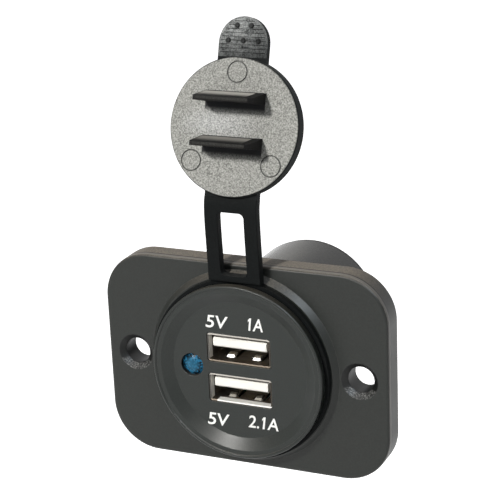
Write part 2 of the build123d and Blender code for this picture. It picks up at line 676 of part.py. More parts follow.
def cover_pivot():
    """The line along X that carries the cover from open to shut, as (y, z)."""
    half_turn = math.radians(180 + COVER_LEAN) / 2
    y_chord = COVER_FACE_CLOSED + DISC_SETBACK
    z_chord = -DISC_CENTRE_HEIGHT
    offset = 1 / (2 * math.tan(half_turn))
    y = (COVER_FACE_CLOSED - DISC_SETBACK) / 2 - z_chord * offset
    z = DISC_CENTRE_HEIGHT / 2 + y_chord * offset
    return y, z


os.makedirs("parts", exist_ok=True)
for name, shape in pieces().items():
    solids = shape if isinstance(shape, list) else shape.solids()
    export_step(Compound([s.solid() for s in solids]), f"parts/{name}.step")
print("cover pivot (y, z):", cover_pivot(), "range 0 to", 180 + COVER_LEAN, "degrees")
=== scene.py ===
"""Finishes a panel-mounted twin charging socket with its rubber cover.

The face looks towards -Y, +X is to its right and +Z is up, in metres.
"""
import math
from bisect import bisect_right
from itertools import accumulate

import bmesh
import bpy
from bpy.props import FloatProperty, FloatVectorProperty, IntProperty, PointerProperty
from mathutils import Matrix, Vector


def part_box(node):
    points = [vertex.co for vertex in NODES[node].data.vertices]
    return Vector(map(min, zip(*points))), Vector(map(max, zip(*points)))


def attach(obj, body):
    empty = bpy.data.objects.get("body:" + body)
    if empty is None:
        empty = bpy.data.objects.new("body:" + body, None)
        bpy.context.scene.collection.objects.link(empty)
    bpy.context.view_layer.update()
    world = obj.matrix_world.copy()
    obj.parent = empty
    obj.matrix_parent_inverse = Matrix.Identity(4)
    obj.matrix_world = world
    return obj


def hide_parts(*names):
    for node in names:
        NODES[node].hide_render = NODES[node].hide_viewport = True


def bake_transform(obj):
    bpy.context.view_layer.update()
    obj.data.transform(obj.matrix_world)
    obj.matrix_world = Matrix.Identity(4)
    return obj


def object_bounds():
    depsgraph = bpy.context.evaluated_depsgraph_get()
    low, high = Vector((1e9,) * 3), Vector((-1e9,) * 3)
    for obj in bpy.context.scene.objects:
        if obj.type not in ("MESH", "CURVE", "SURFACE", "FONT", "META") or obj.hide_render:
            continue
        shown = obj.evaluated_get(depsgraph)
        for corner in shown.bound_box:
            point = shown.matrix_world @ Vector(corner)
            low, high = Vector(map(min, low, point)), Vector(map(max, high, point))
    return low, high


bl_info = {
    "name": "Twin charging socket",
    "version": (1, 0, 0),
    "blender": (4, 5, 0),
    "location": "View3D > Sidebar > Socket",
    "description": "Finishes the socket's mouldings, ports, lamp and rubber cover, and sets its studio",
    "category": "Object",
}

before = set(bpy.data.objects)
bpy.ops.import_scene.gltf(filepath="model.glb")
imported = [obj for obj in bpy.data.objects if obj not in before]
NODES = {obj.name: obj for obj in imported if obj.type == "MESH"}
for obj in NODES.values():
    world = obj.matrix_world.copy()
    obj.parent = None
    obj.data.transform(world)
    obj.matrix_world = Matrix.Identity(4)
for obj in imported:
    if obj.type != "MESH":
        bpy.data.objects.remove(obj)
CAD_LOW, CAD_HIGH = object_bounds()
MM = 0.001


def length(name, description, millimetres):
    value = millimetres * MM
    return FloatProperty(name=name, description=description, default=value, unit="LENGTH", precision=5)


def angle(name, description, degrees):
    return FloatProperty(name=name, description=description, default=math.radians(degrees), subtype="ANGLE")


def colour(name, description, rgb):
    return FloatVectorProperty(name=name, description=description, default=rgb, subtype="COLOR", min=0, max=1)


def number(name, description, value):
    return FloatProperty(name=name, description=description, default=value)


class SocketSizes(bpy.types.PropertyGroup):
    """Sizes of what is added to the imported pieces, and places on them that the finishes need."""

    # The band next to the plate's front is a painted highlight along its rounded edge
    edge_highlight_middle: length("Lip middle", "Station of the rubbed band next to the plate's front", -4.45)
    edge_highlight_width: length("Lip width", "Width of that band", 1.1)
    # A dark line painted round the plate's sides
    side_dark_line: length("Parting line", "Station of the parting line round the plate's edge", -3.7)
    side_dark_line_width: length("Parting line width", "Width of that line", 0.36)
    screw_offset: length("Screw hole offset", "From the socket's axis to a screw hole's", 23.5)
    sink_radius: length("Countersink radius", "Radius of a countersink at the plate's front", 3.7)
    # Height where the plate's painted top sheen and its dusting begin
    dust_and_sheen_height: length("Dust height", "Height above which dust begins to show on the plate", 9.0)
    thread_pitch: length("Thread pitch", "From one turn of the barrel thread to the next", 1.5)
    thread_depth: length("Thread depth", "How far the thread stands off the barrel", 0.42)
    thread_root: length("Thread root radius", "Radius of the barrel under the thread", 14.7)
    thread_end: length("Thread end", "Station along the axis where the thread runs out", 12.8)
    strap_thickness: length("Strap thickness", "Thickness of the rubber strap", 1.7)
    strap_setback: length("Strap setback", "How far the strap stands in front of the ring's back", 0.1)
    stub_length: length("Stub length", "How far the cover's stub reaches past the disc", 1.0)
    strap_round: length("Strap edge round", "Radius of the strap's long edges", 0.3)
    strap_overlap: length("Strap overlap", "How far the strap runs over the lug and the stub", 0.9)
    strap_proud: length("Strap proud", "How much thicker the strap is than the stub", 0.03)
    strap_stiffness: number("Strap stiffness", "How far the strap keeps its direction at each end", 0.45)
    window_width: length("Strap window width", "Width of the opening between the strap's legs", 5.4)
    window_round: length("Strap window round", "Corner radius of that opening", 1.0)
    window_margin: length("Strap window margin", "Solid strap between the lug and the opening", 0.3)
    window_headroom: length("Strap window headroom", "Solid strap between the opening and the stub", 1.7)
    disc_radius: length("Cover radius", "Radius of the rubber cover's disc", 12.9)
    disc_setback: length("Cover setback", "How far the open cover's face lies before the plate's back", 5.3)
    disc_height: length("Cover height", "Height of the open cover's centre above the axis", 47.4)
    disc_thickness: length("Cover thickness", "Thickness of the rubber cover's disc", 2.8)
    cover_lean: angle("Cover lean", "How far the open cover leans back", 16.7)
    tab_thickness: length("Pull tab thickness", "Thickness of the pull tab at the cover's back", 1.3)
    tab_width: length("Pull tab width", "Width of the pull tab", 9.8)
    tab_bend: length("Pull tab bend", "Reach from the cover's centre where the tab rounds off", 15.5)
    rib_width: length("Rib width", "Width of the ridges across the pull tab", 0.12)
    rib_pitch: length("Rib pitch", "Distance between those ridges", 0.72)
    rib_start: length("Rib start", "Reach of the first ridge from the cover's centre", 13.75)
    rib_inset: length("Rib inset", "How much shorter than the tab's width a ridge is", 0.8)
    rib_count: IntProperty(name="Rib count", description="Number of ridges", default=9, min=1)
    blade_width: length("Blade width", "Width of the cover's blades", 12.0)
    blade_foot: length("Blade foot", "Reach of the upper blade's lower side", 4.13)
    blade_tip: length("Blade tip", "Thickness of a blade at its tip", 0.7)
    port_pitch: length("Port pitch", "Distance between the two ports", 8.28)
    # Reach of the painted shadow under each blade
    root_shadow_reach: length("Root shade", "How far the dark line at a blade's foot reaches", 1.7)
    pip_spread: length("Upper pip spread", "Distance between the tab's two upper grip pips", 2.8)
    pip_pitch: length("Lower pip pitch", "Distance between the three lower grip pips", 3.0)
    pip_upper: length("Upper pip reach", "Reach of the upper pips from the cover's centre", 18.7)
    pip_lower: length("Lower pip reach", "Reach of the lower pips from the cover's centre", 15.9)
    # Reach of the painted shade round each grip pip
    pip_shade_reach: length("Pip grime", "How far from a pip's centre the grime reaches", 0.7)
    shell_sheet: length("Shell sheet", "Thickness of the port shells' sheet", 0.3)
    spring_spacing: length("Spring spacing", "Distance between a port's two spring fingers", 5.4)
    spring_tip_start: length("Spring tip start", "How far behind the port's front the tips begin", 2.0)
    spring_tip_width: length("Spring tip width", "Width of a finger's tip", 1.7)
    spring_tip_height: length("Spring tip height", "How far a tip stands off the port's floor", 0.75)
    letter_height: length("Letter height", "Size of the printed ratings", 3.6)
    letter_slant: number("Letter slant", "How far the letters lean for each unit of height", 0.14)
    ink_thickness: length("Ink thickness", "How far the ratings stand off the face", 0.02)
    face_setback: length("Face setback", "How far the port shells' front lies behind the face", 0.15)


class SocketColours(bpy.types.PropertyGroup):
    """Base colours of the finishes, as linear values."""

    plate: colour("Plate", "Mounting plate", (0.0085, 0.0100, 0.0085))
    body: colour("Body", "Flange, face and barrel", (0.0090, 0.0115, 0.0100))
    nut: colour("Nut", "Ring nut and rear cover", (0.012, 0.012, 0.013))
    rubber: colour("Rubber", "Strap, ring and back of the cover", (0.0030, 0.0038, 0.0039))
    # The cover's grey bloom also stands in as a painted sheen on its inner face
    bloom: colour("Bloom", "Grey bloom on the cover's inner face", (0.270, 0.271, 0.254))
    ink: colour("Ink", "Printed ratings", (0.86, 0.86, 0.84))
    tin: colour("Tin plate", "Port shells and lamp legs", (0.30, 0.27, 0.235))
    terminal: colour("Terminals", "Tinned brass blades", (0.74, 0.69, 0.58))
    gold: colour("Gold", "Contacts and pins", (0.85, 0.63, 0.28))
    insulator: colour("Insulator", "White tongues of the ports", (0.80, 0.79, 0.74))
    lamp: colour("Lamp", "Blue lamp", (0.006, 0.045, 0.085))
    board: colour("Board", "Lacquer of the circuit boards", (0.02, 0.10, 0.045))
    chip: colour("Chip", "Chips, diode and pin header", (0.02, 0.02, 0.02))
    ferrite: colour("Ferrite", "Core of the inductor", (0.06, 0.06, 0.065))
    copper: colour("Copper", "Enamelled wire", (0.62, 0.28, 0.14))
    can: colour("Can", "Capacitor cans", (0.70, 0.71, 0.73))


class StudioSettings(bpy.types.PropertyGroup):
    """Where the camera stands and how strong the lamps are."""

    azimuth: angle("Azimuth", "Camera to the right of the socket axis", 24.6)
    elevation: angle("Elevation", "Camera above the socket axis", 18.6)
    roll: angle("Roll", "Camera turned about its own axis", -2.4)
    distance: length("Distance", "Camera to the point it looks at", 315.4)
    aim_x: length("Aim across", "Point that the camera looks at, across", -0.09)
    aim_z: length("Aim height", "Point that the camera looks at, height", 21.96)
    lens: number("Lens", "Focal length on the sensor", 119.2)
    key_azimuth: angle("Key azimuth", "Main lamp to the right of the socket axis", -16.0)
    key_elevation: angle("Key elevation", "Main lamp above the socket axis", 35.0)
    key_power: number("Key power", "Power of the main lamp in watts", 8.5)
    key_size: length("Key size", "Side of the main lamp", 90.0)
    fill_power: number("Fill power", "Power of the large front lamp in watts", 0.5)
    fill_size: length("Fill size", "Side of the large front lamp", 700.0)
    side_power: number("Side power", "Power of the lamp that glints on the seat's slope", 5.5)
    side_size: length("Side size", "Side of that lamp", 260.0)
    ambient: number("Ambient", "Strength of the world's light on matt surfaces", 0.14)
    floor_drop: length("Floor drop", "How far the floor lies below the plate", 60.0)


def sizes():
    return bpy.context.scene.socket_sizes


def colours():
    return bpy.context.scene.socket_colours


def linked(name, data):
    """A new object in the scene."""
    item = bpy.data.objects.new(name, data)
    bpy.context.scene.collection.objects.link(item)
    return item


class Nodes:
    """Adds nodes to one tree. Inputs take plain values or other nodes' outputs."""

    def __init__(self, tree):
        self.tree = tree

    def put(self, socket, value):
        if isinstance(value, bpy.types.NodeSocket):
            self.tree.links.new(value, socket)
        else:
            socket.default_value = (*value, 1) if socket.type == "RGBA" else value

    def feed(self, node, **values):
        """Fills a node's inputs by name, with _ for each space."""
        for name, value in values.items():
            self.put(node.inputs[name.replace("_", " ")], value)

    def add(self, kind, **settings):
        """A new node. Names in lower case are its properties, and the others its inputs."""
        node = self.tree.nodes.new(kind)
        for name, value in settings.items():
            if name[0].islower():
                setattr(node, name, value)
            else:
                self.feed(node, **{name: value})
        return node

    def listed(self, kind, values, **settings):
        """A new node whose inputs are filled in their order."""
        node = self.add(kind, **settings)
        for socket, value in zip(node.inputs, values):
            self.put(socket, value)
        return node.outputs

    def math(self, operation, *values, clamp=False):
        return self.listed("ShaderNodeMath", values, operation=operation, use_clamp=clamp)[0]

    def times(self, first, *others, clamp=False):
        for other in others:
            first = self.math("MULTIPLY", first, other, clamp=clamp)
        return first

    def minus(self, first, second, clamp=False):
        return self.math("SUBTRACT", first, second, clamp=clamp)

    def above(self, value, limit):
        return self.math("GREATER_THAN", value, limit)

    def below(self, value, limit):
        return self.math("LESS_THAN", value, limit)

    def outside(self, mask):
        return self.minus(1.0, mask)

    def size(self, value):
        return self.math("ABSOLUTE", value)

    def distance(self, across, up):
        return self.math("SQRT", self.math("ADD", self.times(across, across), self.times(up, up)))

    def offset(self, vector, point):
        return self.listed("ShaderNodeVectorMath", (vector, point), operation="SUBTRACT")["Vector"]

    def dot(self, vector, direction):
        return self.listed("ShaderNodeVectorMath", (vector, direction), operation="DOT_PRODUCT")["Value"]

    def split(self, vector):
        """The X, Y and Z outputs of a vector."""
        return self.add("ShaderNodeSeparateXYZ", Vector=vector).outputs

    def joined(self, **parts):
        return self.add("ShaderNodeCombineXYZ", **parts).outputs["Vector"]

    def place(self):
        """The outputs Object and Normal of the piece's own coordinates."""
        return self.add("ShaderNodeTexCoord").outputs

    def stretched(self, vector, scale):
        return self.add("ShaderNodeMapping", Scale=scale, Vector=vector).outputs["Vector"]

    def noise(self, vector, **settings):
        return self.add("ShaderNodeTexNoise", Vector=vector, **settings).outputs["Fac"]

    def ramp(self, value, low, high, start=0.0, end=1.0, smooth=False):
        """start where the value is low and end where it is high, and no further."""
        node = self.add(
            "ShaderNodeMapRange", clamp=True, interpolation_type="SMOOTHSTEP" if smooth else "LINEAR",
            Value=value, From_Min=low, From_Max=high, To_Min=start, To_Max=end,
        )
        return node.outputs["Result"]

    def between(self, mask, start, end):
        return self.ramp(mask, 0.0, 1.0, start, end)

    def tint(self, mask, first, second):
        """The first colour where the mask is 0, and the second where it is 1."""
        node = self.add("ShaderNodeMix", data_type="RGBA")
        # A mix of colours has its factor first, and its colours behind those of numbers and vectors.
        for socket, value in zip((node.inputs[0], node.inputs[6], node.inputs[7]), (mask, first, second)):
            self.put(socket, value)
        return node.outputs[2]

    def bump(self, shader, height, distance, under=None):
        """Gives the shader a low relief, over the normal under it."""
        node = self.add("ShaderNodeBump", Strength=1.0, Distance=distance, Height=height)
        if under is not None:
            self.feed(node, Normal=under)
        self.feed(shader, Normal=node.outputs["Normal"])

    def shared(self, name, inputs, build, values):
        """The outputs of a shared group, which is built when it is first asked for."""
        group = bpy.data.node_groups.get(name) or new_group(name, inputs, build)
        node = self.add("ShaderNodeGroup", node_tree=group)
        self.feed(node, **values)
        return node.outputs

    def grain(self, **values):
        """Spark-eroded mould grain: a height, fine speckle, and slow patches for colour and gloss."""
        return self.shared("Mould Grain", GRAIN_INPUTS, grain_nodes, values)

    def edges(self, **values):
        """A rounded normal for sharp edges, and a broken mask of where the edges have been rubbed."""
        return self.shared("Handled Edges", EDGE_INPUTS, edge_nodes, values)

    def dust_and_sheen(self, amount):
        """Fine dusting on what faces up, which on the plastics also stands in as a painted sheen on their tops.
        """
        return self.shared("Settled Dust and Top Sheen", DUST_AND_SHEEN_INPUTS, dust_and_sheen_nodes, {"Amount": amount})["Dust"]


# Shared effects
GRAIN_INPUTS = {"Grains per Metre": 3500.0, "Patches per Metre": 90.0}
EDGE_INPUTS = {"Radius": 0.00015, "Amount": 0.5}
DUST_AND_SHEEN_INPUTS = {"Amount": 0.1}


def new_group(name, inputs, build):
    group = bpy.data.node_groups.new(name, "ShaderNodeTree")
    for label, value in inputs.items():
        socket = group.interface.new_socket(label, in_out="INPUT", socket_type="NodeSocketFloat")
        socket.default_value = value
    results = build(Nodes(group), group.nodes.new("NodeGroupInput").outputs)
    for label, value in results.items():
        kind = "NodeSocketVector" if value.type == "VECTOR" else "NodeSocketFloat"
        group.interface.new_socket(label, in_out="OUTPUT", socket_type=kind)
    made = group.nodes.new("NodeGroupOutput")
    for label, value in results.items():
        group.links.new(value, made.inputs[label])
    return group


def grain_nodes(n, given):
    place, grains = n.place()["Object"], given["Grains per Metre"]
    fine = n.noise(place, Scale=grains, Detail=3.0, Roughness=0.62)
    pits = n.add("ShaderNodeTexVoronoi", feature="SMOOTH_F1", Smoothness=0.35, Vector=place, Scale=grains)
    slow = n.noise(place, Scale=given["Patches per Metre"], Detail=4.0, Roughness=0.55)
    return {
        "Height": n.math("ADD", fine, n.times(pits.outputs["Distance"], 0.5)),
        "Speckle": n.ramp(fine, 0.36, 0.66),
        "Patches": n.ramp(slow, 0.3, 0.7),
    }


def edge_nodes(n, given):
    sharpness = 5.0
    soft = n.add("ShaderNodeBevel", samples=6, Radius=given["Radius"]).outputs["Normal"]
    alike = n.dot(soft, n.add("ShaderNodeNewGeometry").outputs["Normal"])
    edge = n.times(n.outside(alike), sharpness, clamp=True)
    rubbed = n.noise(n.place()["Object"], Scale=700.0, Detail=5.0, Roughness=0.7)
    return {"Normal": soft, "Wear": n.times(edge, rubbed, given["Amount"], clamp=True)}


def dust_and_sheen_nodes(n, given):
    place, steepness = n.place(), 3.0
    upward = n.math("POWER", n.math("MAXIMUM", n.split(place["Normal"])["Z"], 0.0), steepness)
    specks = n.noise(place["Object"], Scale=2600.0, Detail=6.0, Roughness=0.75)
    return {"Dust": n.times(upward, n.ramp(specks, 0.25, 0.65), given["Amount"])}


# Finishes
def new_material(name):
    material = bpy.data.materials.new(name)
    material.use_nodes = True
    return material, Nodes(material.node_tree), material.node_tree.nodes["Principled BSDF"]


def moulded_plastic(
    name, base, gloss, grains=3500.0, relief=0.00001, edge=0.00018, dust_and_sheen=0.1,
    smooth_behind=None, dust_and_sheen_above=None, marks=None,
):
    """Black moulding compound: fine grain, soft edges, rubbed corners, and a dusting on its tops that also
    stands in as a painted beige sheen.
    """
    material, n, shader = new_material(name)
    place = n.place()
    at = n.split(place["Object"])
    if dust_and_sheen_above is not None:
        dust_and_sheen = n.ramp(at["Z"], dust_and_sheen_above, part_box("mounting_plate")[1].z, end=dust_and_sheen)
    grain = n.grain(Grains_per_Metre=grains)
    edges = n.edges(Radius=edge, Amount=0.5)
    top_dust_and_sheen = n.dust_and_sheen(dust_and_sheen)
    base = Vector(base)
    tone = n.tint(grain["Speckle"], base * 0.8, base * 1.25)
    tone = n.tint(n.times(grain["Patches"], 0.3), tone, base * 1.5)
    tone = n.tint(edges["Wear"], tone, (0.17, 0.17, 0.165))
    # painted beige sheen on what faces up, mixed with a dusting
    tone = n.tint(top_dust_and_sheen, tone, (0.42, 0.36, 0.29))
    if marks is not None:
        tone = marks(n, place, at, grain, tone)
    rough = n.between(grain["Patches"], gloss - 0.04, gloss + 0.05)
    rough = n.math("ADD", rough, n.times(top_dust_and_sheen, 0.5), clamp=True)
    if smooth_behind is not None:
        rough = n.minus(rough, n.times(n.above(at["Y"], smooth_behind), 0.2), clamp=True)
    n.feed(shader, Base_Color=tone, Roughness=rough, Specular_IOR_Level=0.29)
    n.bump(shader, grain["Height"], relief, edges["Normal"])
    return material


def plate_marks(n, place, at, grain, tone):
    """A painted highlight band next to the plate's front and a dark line round its sides, and painted shade in
    the screw holes, speckled lighter towards their lower rims.
    """
    s = sizes()
    side = n.below(n.size(n.split(place["Normal"])["Y"]), 0.5)
    for middle, width, share, shade in (
        # painted highlight band along the rounded front edge
        (s.edge_highlight_middle, s.edge_highlight_width, 0.6, (0.21, 0.20, 0.185)),
        # dark line painted round the plate's sides
        (s.side_dark_line, s.side_dark_line_width, 0.85, (0.006, 0.006, 0.006)),
    ):
        band = n.below(n.size(n.minus(at["Y"], middle)), width / 2)
        tone = n.tint(n.times(band, side, share), tone, shade)
    away = n.distance(n.minus(n.size(at["X"]), s.screw_offset), at["Z"])
    sunk = n.below(away, s.sink_radius)
    # painted shade inside the screw holes
    tone = n.tint(n.times(sunk, 0.75), tone, (0.0025, 0.0025, 0.0025))
    # lighter speckle towards each hole's lower rim
    rim = n.above(away, 0.72 * s.sink_radius)
    low = n.below(at["Z"], -0.45 * s.sink_radius)
    low_rim_speckle = n.times(sunk, rim, low, n.math("POWER", grain["Speckle"], 2.0))
    return n.tint(low_rim_speckle, tone, (0.16, 0.16, 0.155))


def soft_rubber(name, base):
    """Matt black rubber with a faint bloom and fingerprints."""
    material, n, shader = new_material(name)
    grain = n.grain(Grains_per_Metre=2600.0)
    edges = n.edges(Radius=0.0002, Amount=0.3)
    base = Vector(base)
    tone = n.tint(grain["Speckle"], base * 0.8, base * 1.4)
    tone = n.tint(n.times(grain["Patches"], 0.12), tone, (0.03, 0.03, 0.03))
    tone = n.tint(n.dust_and_sheen(0.05), tone, (0.34, 0.33, 0.3))
    n.feed(shader, Base_Color=tone, Roughness=n.between(grain["Patches"], 0.58, 0.72), Specular_IOR_Level=0.06)
    n.bump(shader, grain["Height"], 0.000012, edges["Normal"])
    return material


def cover_place():
    """The open cover's inner face: its centre, its outward normal and its upward direction."""
    s = sizes()
    centre = Vector((0, -s.disc_setback, s.disc_height))
    normal = Vector((0, -math.cos(s.cover_lean), math.sin(s.cover_lean)))
    up = Vector((0, math.sin(s.cover_lean), math.cos(s.cover_lean)))
    return centre, normal, up


# How far the parts of the cover lie in front of its inner face
FACE_FROM = -0.3 * MM
GROOVE_BELOW = -0.1 * MM
BLADE_FROM = 0.4 * MM
# The painted highlight patch on that face, across and up from its centre
HIGHLIGHT_MIDDLE = (-3.0 * MM, 0.4 * MM)
HIGHLIGHT_RADII = (10.0 * MM, 4.4 * MM)


def cover_rubber(name, rubber, bloom):
    """The cover's rubber: black, with a grainy grey bloom where the moulded inner face is flat, which also
    stands in as a painted sheen.
    """
    material, n, shader = new_material(name)
    s = sizes()
    centre, normal, up = cover_place()
    rubber, bloom = Vector(rubber), Vector(bloom)
    place = n.place()
    from_centre = n.offset(place["Object"], centre)
    depth, reach = n.dot(from_centre, normal), n.dot(from_centre, up)
    across = n.split(place["Object"])["X"]
    grain = n.grain(Grains_per_Metre=3500.0, Patches_per_Metre=60.0)
    edges = n.edges(Radius=0.00012, Amount=0.2)
    speckle, patches = grain["Speckle"], grain["Patches"]
    flat = n.ramp(n.dot(place["Normal"], normal), 0.75, 0.98)
    inside = n.times(n.above(depth, FACE_FROM), flat)
    proud = n.above(depth, BLADE_FROM)
    level = n.outside(proud)
    beyond = n.above(reach, s.disc_radius)

    # grey bloom, also standing in as painted sheen on the flat face
    pale = n.tint(speckle, bloom * 0.38, bloom * 1.52)
    pale = n.tint(n.times(patches, 0.25), pale, bloom * 1.2)
    # painted highlight: a paler patch left of the face's centre
    highlight_patch = near_point(n, (across, reach), HIGHLIGHT_MIDDLE, HIGHLIGHT_RADII)
    highlight_tone = n.tint(speckle, (0.25, 0.255, 0.255), (0.64, 0.645, 0.64))
    pale = n.tint(n.times(highlight_patch, 0.75), pale, highlight_tone)
    # painted shade in the ring grooves on the face
    pale = n.tint(n.times(n.below(depth, GROOVE_BELOW), 0.6), pale, (0.012, 0.013, 0.013))
    # painted shadow under each blade
    pale = n.tint(n.times(painted_blade_root_shadow(n, across, reach), level), pale, (0.006, 0.006, 0.007))
    # painted shade on the blades' ends
    pale = n.tint(n.times(proud, painted_blade_tip_shade(n, reach)), pale, (0.004, 0.0035, 0.003))

    dark = n.tint(speckle, rubber * 0.8, rubber * 1.5)
    dark = n.tint(n.dust_and_sheen(0.06), dark, (0.3, 0.3, 0.28))
    # pale streaks on the tab, stronger towards its end and its left
    pale_streaked = n.times(tab_pale_streaks(n, place["Object"], across, reach, speckle), beyond, flat)
    dark = n.tint(pale_streaked, dark, (0.56, 0.58, 0.575))
    # painted shade: the blades darker than the rest of the rubber
    on_blade = n.times(proud, n.outside(beyond))
    dark = n.tint(on_blade, dark, (0.0022, 0.0019, 0.0016))
    # painted highlight along the blades' upper sides, paler on the upper blade than on the lower
    topside = n.above(n.dot(place["Normal"], up), 0.6)
    top_highlight_tone = n.tint(n.above(reach, 0.0), (0.25, 0.24, 0.22), (0.46, 0.445, 0.41))
    dark = n.tint(n.times(painted_blade_top_highlight(n, across, depth), topside, on_blade), dark, top_highlight_tone)
    # painted shade round the grip pips
    dark = n.tint(painted_pip_shade(n, across, reach), dark, (0.004, 0.004, 0.004))

    rough = n.between(n.times(inside, level), 0.72, 0.40)
    n.feed(shader, Base_Color=n.tint(inside, dark, pale), Roughness=rough, Specular_IOR_Level=0.12)
    n.bump(shader, grain["Height"], 0.00002, edges["Normal"])
    return material


def near_point(n, point, middle, radii):
    """1 at a point of the cover's face and 0 outside an ellipse round it."""
    parts = (n.math("DIVIDE", n.minus(at, centre), radius) for at, centre, radius in zip(point, middle, radii))
    return n.ramp(n.distance(*parts), 1.0, 0.0, smooth=True)


def painted_blade_root_shadow(n, across, reach):
    """Painted shadow on the cover's face along each blade's lower side, darkest at its foot."""
    s = sizes()
    found = 0.0
    for foot in (s.blade_foot, s.blade_foot - s.port_pitch):
        off = n.size(n.minus(foot, reach))
        found = n.math("MAXIMUM", n.ramp(off, s.root_shadow_reach, 0.25 * s.root_shadow_reach, smooth=True), found)
    return n.times(n.below(n.size(across), s.blade_width / 2), found)


def painted_blade_tip_shade(n, reach):
    """Painted shade on the end of each blade: full below, a little less along its upper edge."""
    s = sizes()
    height = n.math("WRAP", n.minus(reach, s.blade_foot), s.port_pitch, 0.0)
    return n.ramp(height, 0.5 * s.blade_tip, 0.95 * s.blade_tip, 1.0, 0.93)


def painted_blade_top_highlight(n, across, depth):
    """A painted highlight strip along each blade's upper side, which fades towards the tip."""
    half = sizes().blade_width / 2
    strip_from, fade_from, gone_at = 0.7 * MM, 2.0 * MM, 5.2 * MM
    left_margin, right_margin = 0.2 * MM, 1.8 * MM
    strip = n.times(n.above(depth, strip_from), n.ramp(depth, gone_at, fade_from, smooth=True))
    return n.times(strip, n.above(across, left_margin - half), n.below(across, half - right_margin))


def tab_pale_streaks(n, place, across, reach, speckle):
    """Pale streaks on the pull tab, stronger towards its end and its left side."""
    s = sizes()
    streaks = n.noise(n.stretched(place, (520.0, 1100.0, 1100.0)), Scale=1.0, Detail=5.0, Roughness=0.65)
    mottled = n.times(n.math("ADD", n.ramp(streaks, 0.34, 0.70), speckle), 0.5)
    towards_end = n.ramp(reach, s.disc_radius, s.pip_upper, start=0.25)
    aside = n.ramp(across, -s.tab_width / 2, s.tab_width / 2, 1.0, 0.4)
    return n.times(mottled, towards_end, aside)


def painted_pip_shade(n, across, reach):
    """Painted shade on and round each grip pip of the pull tab."""
    s = sizes()
    mirrored = n.minus(n.size(across), s.pip_spread / 2)
    repeated = n.math("WRAP", across, s.pip_pitch / 2, -s.pip_pitch / 2)
    rows = ((mirrored, s.pip_upper), (repeated, s.pip_lower))
    away = n.math("MINIMUM", *(n.distance(aside, n.minus(reach, height)) for aside, height in rows))
    return n.times(n.ramp(away, s.pip_shade_reach, 0.55 * s.pip_shade_reach, smooth=True), 0.85)


def sheet_metal(name, base, gloss, streaks=(5200.0, 500.0, 5200.0)):
    """Rolled and plated metal: fine streaks along the sheet, and faint tarnish."""
    material, n, shader = new_material(name)
    lines = n.noise(n.stretched(n.place()["Object"], streaks), Scale=1.0, Detail=3.0)
    patches = n.grain(Patches_per_Metre=300.0)["Patches"]
    base = Vector(base)
    rough = n.between(lines, gloss - 0.07, gloss + 0.1)
    n.feed(shader, Base_Color=n.tint(patches, base, base * 0.82), Roughness=rough, Metallic=1.0)
    n.bump(shader, lines, 0.0000008, n.edges(Radius=0.00008, Amount=0.0)["Normal"])
    return material


def shell_metal(name, base):
    """Tin plate of the port shells, with painted light and shade: a dark front edge, lighter along its top, a
    painted highlight on the front of the left wall, a darker floor in each mouth and a painted reflection on
    the lower port's floor.
    """
    material, n, shader = new_material(name)
    edge_depth, wall, mouth_depth, sill_margin = 0.05 * MM, 0.35 * MM, 1.5 * MM, 1.5 * MM
    base = Vector(base)
    low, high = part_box("usb_shell_upper")
    pitch = (low.z + high.z) / 2 - sum(corner.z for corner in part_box("usb_shell_lower")) / 2
    half = (high.z - low.z) / 2
    at = n.split(n.place()["Object"])
    depth = n.minus(at["Y"], low.y)
    height = n.minus(n.math("WRAP", at["Z"], pitch, 0.0), pitch / 2)
    edge, mouth = n.below(depth, edge_depth), n.below(depth, mouth_depth)
    top, bottom = n.above(height, half - wall), n.below(height, wall - half)
    # front of the left wall, painted as lit
    side = n.times(mouth, n.below(at["X"], low.x + wall))
    shaded_mouth_floor = n.times(bottom, mouth)
    painted_floor_reflection = n.times(shaded_mouth_floor, n.below(at["Z"], 0.0), n.above(at["X"], low.x + sill_margin))
    grain = n.grain(Patches_per_Metre=700.0)
    tone = n.tint(grain["Patches"], base * 0.55, base * 0.9)
    # painted light and shade: dark front edge, lighter top edge, lit left wall, darker mouth floor, painted
    # reflection on the lower port's floor
    for mask, shade in (
        (side, (0.84, 0.81, 0.76)),
        (edge, (0.045, 0.040, 0.034)),
        (n.times(edge, top), (0.36, 0.34, 0.31)),
        (shaded_mouth_floor, (0.20, 0.165, 0.13)),
        (painted_floor_reflection, (0.86, 0.85, 0.82)),
    ):
        tone = n.tint(mask, tone, shade)
    metallic = n.between(n.math("MAXIMUM", painted_floor_reflection, side), 1.0, 0.25)
    n.feed(shader, Base_Color=tone, Metallic=metallic, Roughness=n.between(grain["Speckle"], 0.28, 0.42))
    n.bump(shader, grain["Height"], 0.000001, n.edges(Radius=0.00008, Amount=0.0)["Normal"])
    return material


def spring_tip_glint_metal(name):
    """Spring tips with a painted glint: pale in the upper port and dark in the lower one."""
    material, n, shader = new_material(name)
    upper = n.above(n.split(n.place()["Object"])["Z"], 0.0)
    tone = n.tint(upper, (0.10, 0.094, 0.082), (0.84, 0.82, 0.78))
    n.feed(shader, Base_Color=tone, Roughness=n.between(upper, 0.5, 0.3), Metallic=1.0)
    return material


def glossy_compound(name, base, gloss):
    """Smooth compound or lacquer, such as the tongues, the boards and the chips."""
    material, n, shader = new_material(name)
    grain = n.grain(Grains_per_Metre=5000.0)
    base = Vector(base)
    tone = n.tint(grain["Patches"], base * 0.93, base * 1.05)
    rough = n.between(grain["Speckle"], gloss - 0.05, gloss + 0.05)
    n.feed(shader, Base_Color=tone, Roughness=rough, Specular_IOR_Level=0.5)
    n.bump(shader, grain["Height"], 0.000003, n.edges(Radius=0.0001, Amount=0.0)["Normal"])
    return material


